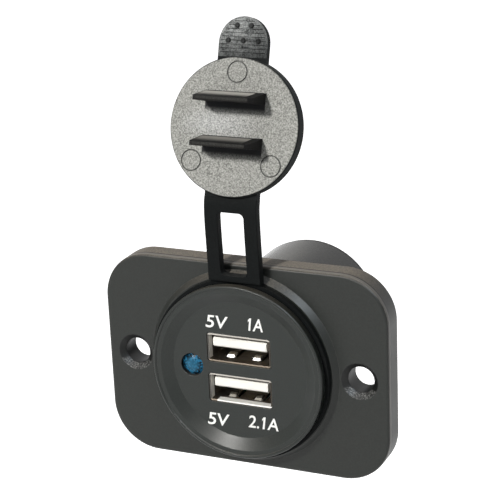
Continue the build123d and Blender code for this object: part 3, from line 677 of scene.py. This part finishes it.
def lamp_glass(name, base):
    """Blue lamp lens: small cells with painted glints, some faintly glowing, round a paler middle, under a
    clear gloss.
    """
    material, n, shader = new_material(name)
    low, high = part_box("led_lamp")
    middle = Vector(((low.x + high.x) / 2, low.y, (low.z + high.z) / 2))
    place = n.place()["Object"]
    cells = n.add("ShaderNodeTexVoronoi", Scale=3200.0, Vector=place).outputs
    radius = n.add("ShaderNodeVectorMath", operation="LENGTH", Vector=n.offset(place, middle)).outputs["Value"]
    core = n.ramp(radius, 1.9 * MM, 0.9 * MM)
    glint_cells = n.ramp(n.add("ShaderNodeSeparateColor", Color=cells["Color"]).outputs["Red"], 0.5, 0.75)
    base = Vector(base)
    # painted glints in the lens's cells, some of them faintly glowing
    deep = n.tint(glint_cells, base * 0.05, base * 3.4)
    glint_glow = n.tint(n.times(glint_cells, core), (0.0, 0.01, 0.03), (0.10, 0.55, 0.95))
    n.feed(shader, Base_Color=n.tint(core, deep, (0.012, 0.085, 0.15)), Emission_Color=glint_glow)
    n.feed(shader, Emission_Strength=0.08, Roughness=0.3, Specular_IOR_Level=0.14)
    n.bump(shader, cells["Distance"], 0.00004)
    return material


# Pieces
def dress(node, material):
    """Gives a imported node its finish."""
    mesh = NODES[node].data
    mesh.materials.clear()
    mesh.materials.append(material)


def new_piece(name, mesh, material):
    """A new piece from a finished mesh."""
    piece = linked(name, mesh)
    mesh.materials.clear()
    mesh.materials.append(material)
    return piece


def applied(piece):
    """The piece's mesh with its modifiers applied, and the modifiers gone."""
    evaluated = piece.evaluated_get(bpy.context.evaluated_depsgraph_get())
    mesh = bpy.data.meshes.new_from_object(evaluated)
    bpy.data.objects.remove(piece)
    return mesh


def grown(name, build, values, material):
    """The mesh that a geometry tree makes from named values, real, smooth and with its material."""
    tree = bpy.data.node_groups.new(name, "GeometryNodeTree")

    def socket(label, direction, kind):
        return tree.interface.new_socket(label, in_out=direction, socket_type=kind).identifier

    socket("Geometry", "INPUT", "NodeSocketGeometry")
    settings = {}
    for label, value in values.items():
        kind = "NodeSocketInt" if isinstance(value, int) else "NodeSocketFloat"
        settings[socket(label, "INPUT", kind)] = value
    settings[socket("Material", "INPUT", "NodeSocketMaterial")] = material
    socket("Geometry", "OUTPUT", "NodeSocketGeometry")
    n = Nodes(tree)
    given = tree.nodes.new("NodeGroupInput").outputs
    real = n.add("GeometryNodeRealizeInstances", Geometry=build(n, given)).outputs[0]
    shade = n.add("GeometryNodeSetShadeSmooth", Shade_Smooth=True, Geometry=real).outputs[0]
    finish = n.add("GeometryNodeSetMaterial", Geometry=shade, Material=given["Material"]).outputs[0]
    n.add("NodeGroupOutput", Geometry=finish)
    seed = linked(name, bpy.data.meshes.new(name))
    modifier = seed.modifiers.new(name, "NODES")
    modifier.node_group = tree
    for identifier, value in settings.items():
        modifier[identifier] = value
    return applied(seed)


def thread_shape(n, given):
    """A ridge that winds round the axis and runs out at both ends."""
    end_steepness = 14.0
    spiral = n.add(
        "GeometryNodeCurveSpiral", Resolution=96, Rotations=n.math("DIVIDE", given["Length"], given["Pitch"]),
        Start_Radius=given["Root Radius"], End_Radius=given["Root Radius"], Height=given["Length"],
    )
    along = n.add("GeometryNodeSplineParameter").outputs["Factor"]
    nearest_end = n.math("MINIMUM", along, n.outside(along))
    fade = n.math("MINIMUM", n.times(nearest_end, end_steepness), 1.0)
    swell = n.add("GeometryNodeSetCurveRadius", Curve=spiral.outputs[0], Radius=n.times(fade, given["Depth"]))
    upright = n.add("GeometryNodeSetCurveNormal", mode="Z_UP", Curve=swell.outputs[0])
    ridge = n.add("GeometryNodeCurvePrimitiveCircle", mode="RADIUS", Resolution=6, Radius=1.0)
    sweep = n.add(
        "GeometryNodeCurveToMesh", Curve=upright.outputs[0], Profile_Curve=ridge.outputs["Curve"],
        Scale=n.add("GeometryNodeInputRadius").outputs["Radius"], Fill_Caps=True,
    )
    start = n.joined(Y=given["Start"])
    turned = n.add(
        "GeometryNodeTransform", Geometry=sweep.outputs[0], Translation=start, Rotation=(-math.pi / 2, 0, 0)
    )
    return turned.outputs["Geometry"]


def rib_shape(n, given):
    """Low round-topped ridges, one above the other, across a tab that lies on the XY plane."""
    rows = n.add(
        "GeometryNodeMeshLine", mode="OFFSET", Count=given["Count"], Start_Location=n.joined(Y=given["Start"]),
        Offset=n.joined(Y=given["Pitch"]),
    )
    radius = n.math("DIVIDE", given["Thickness"], 2.0)
    bar = n.add("GeometryNodeMeshCylinder", Vertices=16, Side_Segments=1, Radius=radius, Depth=given["Width"])
    lay = n.add("GeometryNodeTransform", Geometry=bar.outputs["Mesh"], Rotation=(0, math.pi / 2, 0))
    height = n.split(n.add("GeometryNodeInputPosition").outputs[0])["Y"]
    beyond = n.math("MAXIMUM", n.minus(height, given["Bend"]), 0.0)
    part = n.math("DIVIDE", beyond, n.math("DIVIDE", given["Width"], 2.0))
    chord = n.math("SQRT", n.minus(1.0, n.math("POWER", part, 2.0)))
    copies = n.add(
        "GeometryNodeInstanceOnPoints", Points=rows.outputs["Mesh"], Instance=lay.outputs[0],
        Scale=n.joined(X=chord, Y=1.0, Z=1.0),
    )
    return copies.outputs["Instances"]


PATH_STEPS = 400


def strap_path():
    """The strap's middle line as a function of 0 to 1, from the lug to the cover's stub, and its length."""
    s = sizes()
    thickness = s.strap_thickness
    centre, normal, up = cover_place()
    stub = centre - normal * (s.disc_thickness - thickness / 2)
    end = stub - up * (s.disc_radius + s.stub_length)
    ring_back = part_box("cap_ring")[1].y
    start = Vector((0, ring_back - s.strap_setback - thickness / 2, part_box("cap_strap")[0].z))
    pull = (end - start).length * s.strap_stiffness
    leave, arrive = Vector((0, 0, pull)), up * pull

    def bend(t):
        a, b = 2 * t**3 - 3 * t**2 + 1, t**3 - 2 * t**2 + t
        c, d = -2 * t**3 + 3 * t**2, t**3 - t**2
        return start * a + leave * b + end * c + arrive * d

    points = [bend(i / PATH_STEPS) for i in range(PATH_STEPS + 1)]
    reached = list(accumulate(((b - a).length for a, b in zip(points, points[1:])), initial=0.0))
    whole = reached[-1]

    def at(t):
        if t < 0:
            return start + leave.normalized() * whole * t
        if t > 1:
            return end + arrive.normalized() * whole * (t - 1)
        i = min(bisect_right(reached, t * whole), PATH_STEPS)
        return points[i - 1].lerp(points[i], (t * whole - reached[i - 1]) / (reached[i] - reached[i - 1]))

    return at, whole


def strap_mesh():
    """A flat strap with a rounded window, subdivided so that it can bend, laid along its path."""
    s = sizes()
    at, whole = strap_path()
    low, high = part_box("cap_strap")
    half = (high.x - low.x) / 2 + s.strap_proud
    rows, legs, middle = 56, 7, 4
    overlap = s.strap_overlap / whole
    corner = s.window_round / whole
    window_low = s.window_margin / whole
    window_high = 1 - s.window_headroom / whole

    def window_half(t):
        """Half the window's width at t, with its round corners."""
        inset = max(min(t - window_low, window_high - t) * whole, 0.0)
        if inset >= s.window_round:
            return s.window_width / 2
        missing = s.window_round - inset
        return s.window_width / 2 - s.window_round + math.sqrt(max(s.window_round**2 - missing**2, 0.0))

    rounded = [corner * (1 - math.cos(math.radians(turn))) for turn in (30, 55, 75, 90)]
    stations = sorted(
        {-overlap, window_low, window_high, 1 + overlap}
        | {window_low + step for step in rounded}
        | {window_high - step for step in rounded}
        | {-overlap + (1 + 2 * overlap) * i / rows for i in range(1, rows)}
    )
    mesh = bmesh.new()
    grid = []
    for t in stations:
        point, inner = at(t), window_half(t)
        across = [-half + (half - inner) * i / legs for i in range(legs)]
        across += [-inner + 2 * inner * i / middle for i in range(middle)]
        across += [inner + (half - inner) * i / legs for i in range(legs + 1)]
        grid.append([mesh.verts.new((x, point.y, point.z)) for x in across])
    for t, below, above in zip(stations, grid, grid[1:]):
        open_here = window_low - 1e-9 <= t < window_high - 1e-9
        for i in range(len(below) - 1):
            if not (open_here and legs <= i < legs + middle):
                mesh.faces.new((below[i], below[i + 1], above[i + 1], above[i]))
    bmesh.ops.delete(mesh, geom=[v for v in mesh.verts if not v.link_faces], context="VERTS")
    strap = linked("strap_sheet", meshed("strap_sheet", mesh))
    thicken = strap.modifiers.new("Thickness", "SOLIDIFY")
    thicken.thickness = s.strap_thickness + 2 * s.strap_proud
    thicken.offset = 0.0
    thicken.use_even_offset = True
    rounding = strap.modifiers.new("Edges", "BEVEL")
    rounding.width = s.strap_round
    rounding.segments = 3
    rounding.limit_method = "ANGLE"
    rounding.angle_limit = math.radians(50)
    made = applied(strap)
    made.name = "strap"
    for face in made.polygons:
        face.use_smooth = True
    return made


def meshed(name, shape):
    """A mesh from an edited shape, which ends with it."""
    mesh = bpy.data.meshes.new(name)
    shape.to_mesh(mesh)
    shape.free()
    return mesh


# A spring tip's hump from front to back: millimetres behind its start, and share of its height
HUMP = ((0.0, 0.0), (0.35, 0.62), (0.75, 0.95), (1.25, 1.0), (1.8, 0.72), (2.4, 0.0))
# The same across the tip: share of its half width, and of the hump's height there
HUMP_ACROSS = ((-1, 0.35), (-0.72, 1.0), (0, 1.0), (0.72, 1.0), (1, 0.35))
TIP_SUNK = 0.03 * MM


def spring_mesh():
    """The bent tips of the spring fingers: low humps with steep fronts on the floor of each port."""
    s = sizes()
    tips = bmesh.new()
    for deck in ("upper", "lower"):
        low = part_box(f"usb_shell_{deck}")[0]
        front, floor = low.y + s.spring_tip_start, low.z + s.shell_sheet - TIP_SUNK
        for centre in (-s.spring_spacing / 2, s.spring_spacing / 2):
            rows = [
                [
                    tips.verts.new((
                        centre + across * s.spring_tip_width / 2,
                        front + y * MM,
                        floor + z * share * s.spring_tip_height,
                    ))
                    for y, z in HUMP
                ]
                for across, share in HUMP_ACROSS
            ]
            for a, b in zip(rows, rows[1:]):
                for i in range(len(HUMP) - 1):
                    tips.faces.new((a[i], b[i], b[i + 1], a[i + 1]))
            tips.faces.new(rows[0][::-1])
            tips.faces.new(rows[-1])
            tips.faces.new([row[0] for row in rows][::-1] + [row[-1] for row in rows])
    bmesh.ops.recalc_face_normals(tips, faces=tips.faces)
    return meshed("spring_tips", tips)


# Printed ratings: each word, its place in millimetres from the socket axis, and how wide it is drawn
WORDS = (
    ("5V", -4.6, 9.35, 1.12),
    ("1A", 3.45, 9.65, 0.83),
    ("5V", -5.2, -10.95, 1.12),
    ("2.1A", 4.5, -10.4, 0.93),
)
STROKE_GAIN = 0.012
# A figure one's flag as shares of the letter's height: its reach, its drop and its stroke
FLAG = (0.26, 0.30, 0.28)
FLAG_OVERLAP = 0.02 * MM


def stem_tops(mesh):
    """The top left corner of each narrow upright stroke in a word's mesh."""
    tall_from, slim, top_share = 1.2 * MM, 0.42, 0.05
    letters = bmesh.new()
    letters.from_mesh(mesh)
    bmesh.ops.remove_doubles(letters, verts=letters.verts, dist=1e-8)
    left, found = set(letters.verts), []
    while left:
        grow, seen = [left.pop()], []
        while grow:
            vert = grow.pop()
            seen.append(vert)
            for edge in vert.link_edges:
                other = edge.other_vert(vert)
                if other in left:
                    left.remove(other)
                    grow.append(other)
        xs, ys = [v.co.x for v in seen], [v.co.y for v in seen]
        tall = max(ys) - min(ys)
        if tall > tall_from and max(xs) - min(xs) < slim * tall:
            high = [v.co.x for v in seen if v.co.y > max(ys) - top_share * tall]
            found.append((min(high), max(ys)))
    letters.free()
    return found


def add_flags(mesh, word, thickness):
    """Gives each figure one its flag, since the font draws it as a bare stem."""
    height = max(v.co.y for v in mesh.vertices)
    reach, drop, stroke = (share * height for share in FLAG)
    shape = bmesh.new()
    shape.from_mesh(mesh)
    for left, top in stem_tops(mesh) if "1" in word else ():
        outline = (
            (left + FLAG_OVERLAP, top),
            (left - reach, top - drop),
            (left - reach, top - drop - stroke),
            (left + FLAG_OVERLAP, top - stroke),
        )
        back, front = ([shape.verts.new((x, y, z)) for x, y in outline] for z in (-thickness, thickness))
        shape.faces.new(front[::-1])
        shape.faces.new(back)
        for i in range(4):
            j = (i + 1) % 4
            shape.faces.new((front[i], front[j], back[j], back[i]))
    bmesh.ops.recalc_face_normals(shape, faces=shape.faces)
    shape.to_mesh(mesh)
    shape.free()


def word_mesh(word, x, y, z, width):
    """A raised word, centred on its place on the face."""
    s = sizes()
    curve = bpy.data.curves.new(word, "FONT")
    curve.body = word
    curve.size = s.letter_height
    curve.align_x = curve.align_y = "CENTER"
    curve.extrude = s.ink_thickness
    curve.offset = STROKE_GAIN * s.letter_height
    curve.shear = s.letter_slant
    mesh = applied(linked(word, curve))
    add_flags(mesh, word, s.ink_thickness)
    mesh.transform(Matrix.Diagonal((width, 1, 1, 1)))
    mesh.transform(Matrix.Translation((x, y, z)) @ Matrix.Rotation(math.pi / 2, 4, "X"))
    return mesh


# Stage
FLOOR_REACH = 3.0
FLOOR_GLOW = 0.95
SENSOR_WIDTH = 36.0
SIDE_FROM = Vector((0.54, -0.42, 0.73))
FILL_FROM = Vector((-0.55, -0.80, 0.12))


def direction_of(azimuth, elevation):
    """The direction from the socket to something that far to its right and that far above it."""
    flat = math.cos(elevation)
    return Vector((math.sin(azimuth) * flat, -math.cos(azimuth) * flat, math.sin(elevation)))


def set_floor(height):
    """A pale floor that looks white, and still takes the socket's shadow."""
    reach = FLOOR_REACH
    corners = [(x, y, height) for x, y in ((-reach, -reach), (reach, -reach), (reach, reach), (-reach, reach))]
    mesh = bpy.data.meshes.new("floor")
    mesh.from_pydata(corners, [], [(0, 1, 2, 3)])
    floor = linked("floor", mesh)
    material, n, shader = new_material("pale floor")
    paper = n.noise(n.place()["Object"], Scale=40.0, Detail=4.0)
    seen = n.add("ShaderNodeLightPath").outputs
    direct = n.math("MAXIMUM", seen["Is Camera Ray"], seen["Is Glossy Ray"])
    n.feed(shader, Base_Color=n.tint(paper, (0.86, 0.86, 0.86), (0.9, 0.9, 0.9)), Roughness=0.9)
    n.feed(shader, Emission_Strength=n.times(direct, FLOOR_GLOW), Emission_Color=(1, 1, 1))
    mesh.materials.append(material)


def add_lamp(name, aim, direction, distance, size, power, tone):
    data = bpy.data.lights.new(name, "AREA")
    data.size = size
    data.energy = power
    data.color = tone
    lamp = linked(name, data)
    direction = direction.normalized()
    lamp.location = aim + direction * distance
    lamp.rotation_mode = "QUATERNION"
    lamp.rotation_quaternion = (-direction).to_track_quat("-Z", "Y")
    return lamp


def set_world(ambient):
    """White where the camera, a gloss or a glass looks, and dim and slightly blue as light on matt surfaces."""
    world = bpy.data.worlds.new("studio")
    world.use_nodes = True
    bpy.context.scene.world = world
    n = Nodes(world.node_tree)
    seen = n.add("ShaderNodeLightPath").outputs
    direct = n.math("MAXIMUM", seen["Is Camera Ray"], seen["Is Glossy Ray"])
    direct = n.math("MAXIMUM", direct, seen["Is Transmission Ray"])
    tone = n.tint(direct, (0.92, 0.96, 1.0), (1.0, 1.0, 1.0))
    n.feed(world.node_tree.nodes["Background"], Color=tone, Strength=n.between(direct, ambient, 1.0))


def set_camera(t):
    """The camera stands off its aim by azimuth and elevation, and is turned by the roll."""
    back = direction_of(t.azimuth, t.elevation)
    right = (-back).cross(Vector((0, 0, 1))).normalized()
    up = right.cross(-back)
    across = right * math.cos(t.roll) + up * math.sin(t.roll)
    upward = up * math.cos(t.roll) - right * math.sin(t.roll)
    data = bpy.data.cameras.new("camera")
    data.lens = t.lens
    data.sensor_width = SENSOR_WIDTH
    data.clip_start = 0.01
    data.clip_end = 20.0
    camera = linked("camera", data)
    stand = Vector((t.aim_x, 0, t.aim_z)) + back * t.distance
    camera.matrix_world = Matrix.Translation(stand) @ Matrix((across, upward, back)).transposed().to_4x4()
    bpy.context.scene.camera = camera


class SOCKET_OT_plate(bpy.types.Operator):
    """Finish the mounting plate in grained black plastic"""

    bl_idname = "socket.plate"
    bl_label = "Mounting plate"

    def execute(self, context):
        plastic = moulded_plastic(
            "plate plastic", colours().plate, 0.42, relief=0.000012, dust_and_sheen=0.6,
            dust_and_sheen_above=sizes().dust_and_sheen_height, marks=plate_marks,
        )
        dress("mounting_plate", plastic)
        return {"FINISHED"}


class SOCKET_OT_body(bpy.types.Operator):
    """Finish the flange, face and barrel in smooth black plastic"""

    bl_idname = "socket.body"
    bl_label = "Socket body"

    def execute(self, context):
        plastic = moulded_plastic(
            "body plastic", colours().body, 0.36, grains=4200.0, relief=0.000006, dust_and_sheen=0.16, smooth_behind=0.0
        )
        dress("socket_body", plastic)
        return {"FINISHED"}


class SOCKET_OT_thread(bpy.types.Operator):
    """Wind the thread round the barrel behind the ring nut"""

    bl_idname = "socket.thread"
    bl_label = "Barrel thread"

    def execute(self, context):
        s = sizes()
        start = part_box("ring_nut")[1].y - s.thread_pitch
        values = {
            "Root Radius": s.thread_root,
            "Depth": s.thread_depth,
            "Pitch": s.thread_pitch,
            "Start": start,
            "Length": s.thread_end - start,
        }
        material = NODES["socket_body"].data.materials[0]
        mesh = grown("Barrel Thread", thread_shape, values, material)
        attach(new_piece("barrel_thread", mesh, material), "root")
        return {"FINISHED"}


class SOCKET_OT_nut(bpy.types.Operator):
    """Finish the ring nut and the rear cover"""

    bl_idname = "socket.nut"
    bl_label = "Ring nut and rear cover"

    def execute(self, context):
        plastic = moulded_plastic(
            "nut plastic", colours().nut, 0.45, grains=3000.0, relief=0.000012, edge=0.00025
        )
        dress("ring_nut", plastic)
        dress("rear_cover", plastic)
        return {"FINISHED"}


class SOCKET_OT_cover(bpy.types.Operator):
    """Finish the rubber ring and the cover"""

    bl_idname = "socket.cover"
    bl_label = "Rubber ring and cover"

    def execute(self, context):
        c = colours()
        dress("cap_ring", soft_rubber("ring rubber", c.rubber))
        dress("cap_cover", cover_rubber("cover rubber", c.rubber, c.bloom))
        return {"FINISHED"}


class SOCKET_OT_strap(bpy.types.Operator):
    """Make the two-legged strap that bends between the ring and the cover"""

    bl_idname = "socket.strap"
    bl_label = "Rubber strap"

    def execute(self, context):
        strap = new_piece("strap", strap_mesh(), NODES["cap_ring"].data.materials[0])
        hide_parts("cap_strap")
        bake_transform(strap)
        return {"FINISHED"}


class SOCKET_OT_ribs(bpy.types.Operator):
    """Lay the ridges across the foot of the pull tab"""

    bl_idname = "socket.ribs"
    bl_label = "Pull tab ribs"

    def execute(self, context):
        s = sizes()
        values = {
            "Count": s.rib_count,
            "Width": s.tab_width - s.rib_inset,
            "Thickness": s.rib_width,
            "Pitch": s.rib_pitch,
            "Start": s.rib_start,
            "Bend": s.tab_bend,
        }
        material = NODES["cap_cover"].data.materials[0]
        mesh = grown("Tab Ribs", rib_shape, values, material)
        centre, normal, up = cover_place()
        surface = centre - normal * (s.disc_thickness - s.tab_thickness)
        turn = Matrix((Vector((1, 0, 0)), up, normal)).transposed().to_4x4()
        mesh.transform(Matrix.Translation(surface) @ turn)
        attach(new_piece("tab_ribs", mesh, material), "cap")
        return {"FINISHED"}


class SOCKET_OT_ports(bpy.types.Operator):
    """Finish the port shells, tongues and contacts"""

    bl_idname = "socket.ports"
    bl_label = "Charging ports"

    def execute(self, context):
        c = colours()
        tin = sheet_metal("tin plate", c.tin, 0.33)
        shell = shell_metal("shell plate", c.tin)
        gold = sheet_metal("gold", c.gold, 0.25)
        white = glossy_compound("insulator", c.insulator, 0.38)
        for deck in ("upper", "lower"):
            dress(f"usb_shell_{deck}", shell)
            dress(f"usb_insulator_{deck}", white)
            dress(f"usb_contacts_{deck}", gold)
        tips = new_piece("spring_tips", spring_mesh(), spring_tip_glint_metal("spring tips"))
        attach(tips, "root")
        dress("led_legs", tin)
        dress("link_pins", gold)
        return {"FINISHED"}


class SOCKET_OT_lamp(bpy.types.Operator):
    """Finish the pilot lamp"""

    bl_idname = "socket.lamp"
    bl_label = "Pilot lamp"

    def execute(self, context):
        dress("led_lamp", lamp_glass("lamp lens", colours().lamp))
        return {"FINISHED"}


class SOCKET_OT_ratings(bpy.types.Operator):
    """Print each port's voltage and current above and below the ports"""

    bl_idname = "socket.ratings"
    bl_label = "Printed ratings"

    def execute(self, context):
        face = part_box("usb_shell_upper")[0].y - sizes().face_setback
        material = glossy_compound("ink", colours().ink, 0.5)
        words = bmesh.new()
        for word, x, z, width in WORDS:
            words.from_mesh(word_mesh(word, x * MM, face, z * MM, width))
        bmesh.ops.remove_doubles(words, verts=words.verts, dist=1e-7)
        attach(new_piece("ratings", meshed("ratings", words), material), "root")
        return {"FINISHED"}


class SOCKET_OT_terminals(bpy.types.Operator):
    """Finish the blade terminals"""

    bl_idname = "socket.terminals"
    bl_label = "Terminals"

    def execute(self, context):
        blade = sheet_metal("tinned brass", colours().terminal, 0.32)
        for pole in ("positive", "negative"):
            dress(f"terminal_{pole}", blade)
        return {"FINISHED"}


class SOCKET_OT_inside(bpy.types.Operator):
    """Finish the boards and what stands on them"""

    bl_idname = "socket.inside"
    bl_label = "Circuit boards"

    def execute(self, context):
        c = colours()
        board = glossy_compound("board lacquer", c.board, 0.3)
        chip = glossy_compound("chip compound", c.chip, 0.5)
        for node in ("port_board", "converter_board"):
            dress(node, board)
        for node in ("link_header", "converter_chip", "rectifier_diode"):
            dress(node, chip)
        dress("inductor_core", glossy_compound("ferrite", c.ferrite, 0.6))
        wire = sheet_metal("enamelled wire", c.copper, 0.3, (300.0, 300.0, 9000.0))
        dress("inductor_winding", wire)
        for node in ("input_capacitor", "output_capacitor"):
            dress(node, sheet_metal("can", c.can, 0.3, (400.0, 400.0, 3000.0)))
        return {"FINISHED"}


class SOCKET_OT_stage(bpy.types.Operator):
    """Set the floor, the lamps, the world and the camera"""

    bl_idname = "socket.stage"
    bl_label = "Stage"

    def execute(self, context):
        t = context.scene.socket_studio
        set_floor(CAD_LOW.z - t.floor_drop)
        aim = Vector((0, 0, t.aim_z))
        key_from = direction_of(t.key_azimuth, t.key_elevation)
        add_lamp("key lamp", aim, key_from, 0.9, t.key_size, t.key_power, (1.0, 0.985, 0.955))
        add_lamp("fill lamp", aim, FILL_FROM, 1.0, t.fill_size, t.fill_power, (0.93, 0.97, 1.0))
        side = add_lamp("side lamp", aim, SIDE_FROM, 0.8, t.side_size, t.side_power, (0.80, 0.91, 1.0))
        side.visible_diffuse = False
        set_world(t.ambient)
        set_camera(t)
        context.scene.view_settings.view_transform = "Standard"
        return {"FINISHED"}


class SOCKET_PT_panel(bpy.types.Panel):
    """Lists the operators in the order in which they are run"""

    bl_label = "Twin charging socket"
    bl_idname = "SOCKET_PT_panel"
    bl_space_type = "VIEW_3D"
    bl_region_type = "UI"
    bl_category = "Socket"

    def draw(self, context):
        for operator in OPERATORS:
            self.layout.operator(operator.bl_idname)
        for name in GROUPS:
            group, box = getattr(context.scene, name), self.layout.box()
            for setting in group.__annotations__:
                box.prop(group, setting)


OPERATORS = (
    SOCKET_OT_plate,
    SOCKET_OT_body,
    SOCKET_OT_thread,
    SOCKET_OT_nut,
    SOCKET_OT_cover,
    SOCKET_OT_strap,
    SOCKET_OT_ribs,
    SOCKET_OT_ports,
    SOCKET_OT_lamp,
    SOCKET_OT_ratings,
    SOCKET_OT_terminals,
    SOCKET_OT_inside,
    SOCKET_OT_stage,
)
GROUPS = {"socket_sizes": SocketSizes, "socket_colours": SocketColours, "socket_studio": StudioSettings}
CLASSES = (*GROUPS.values(), *OPERATORS, SOCKET_PT_panel)


def register():
    for cls in CLASSES:
        bpy.utils.register_class(cls)
    for name, group in GROUPS.items():
        setattr(bpy.types.Scene, name, PointerProperty(type=group))


def unregister():
    for name in GROUPS:
        delattr(bpy.types.Scene, name)
    for cls in reversed(CLASSES):
        bpy.utils.unregister_class(cls)


def main():
    register()
    for operator in OPERATORS:
        group, name = operator.bl_idname.split(".")
        getattr(getattr(bpy.ops, group), name)()


if __name__ == "__main__":
    main()
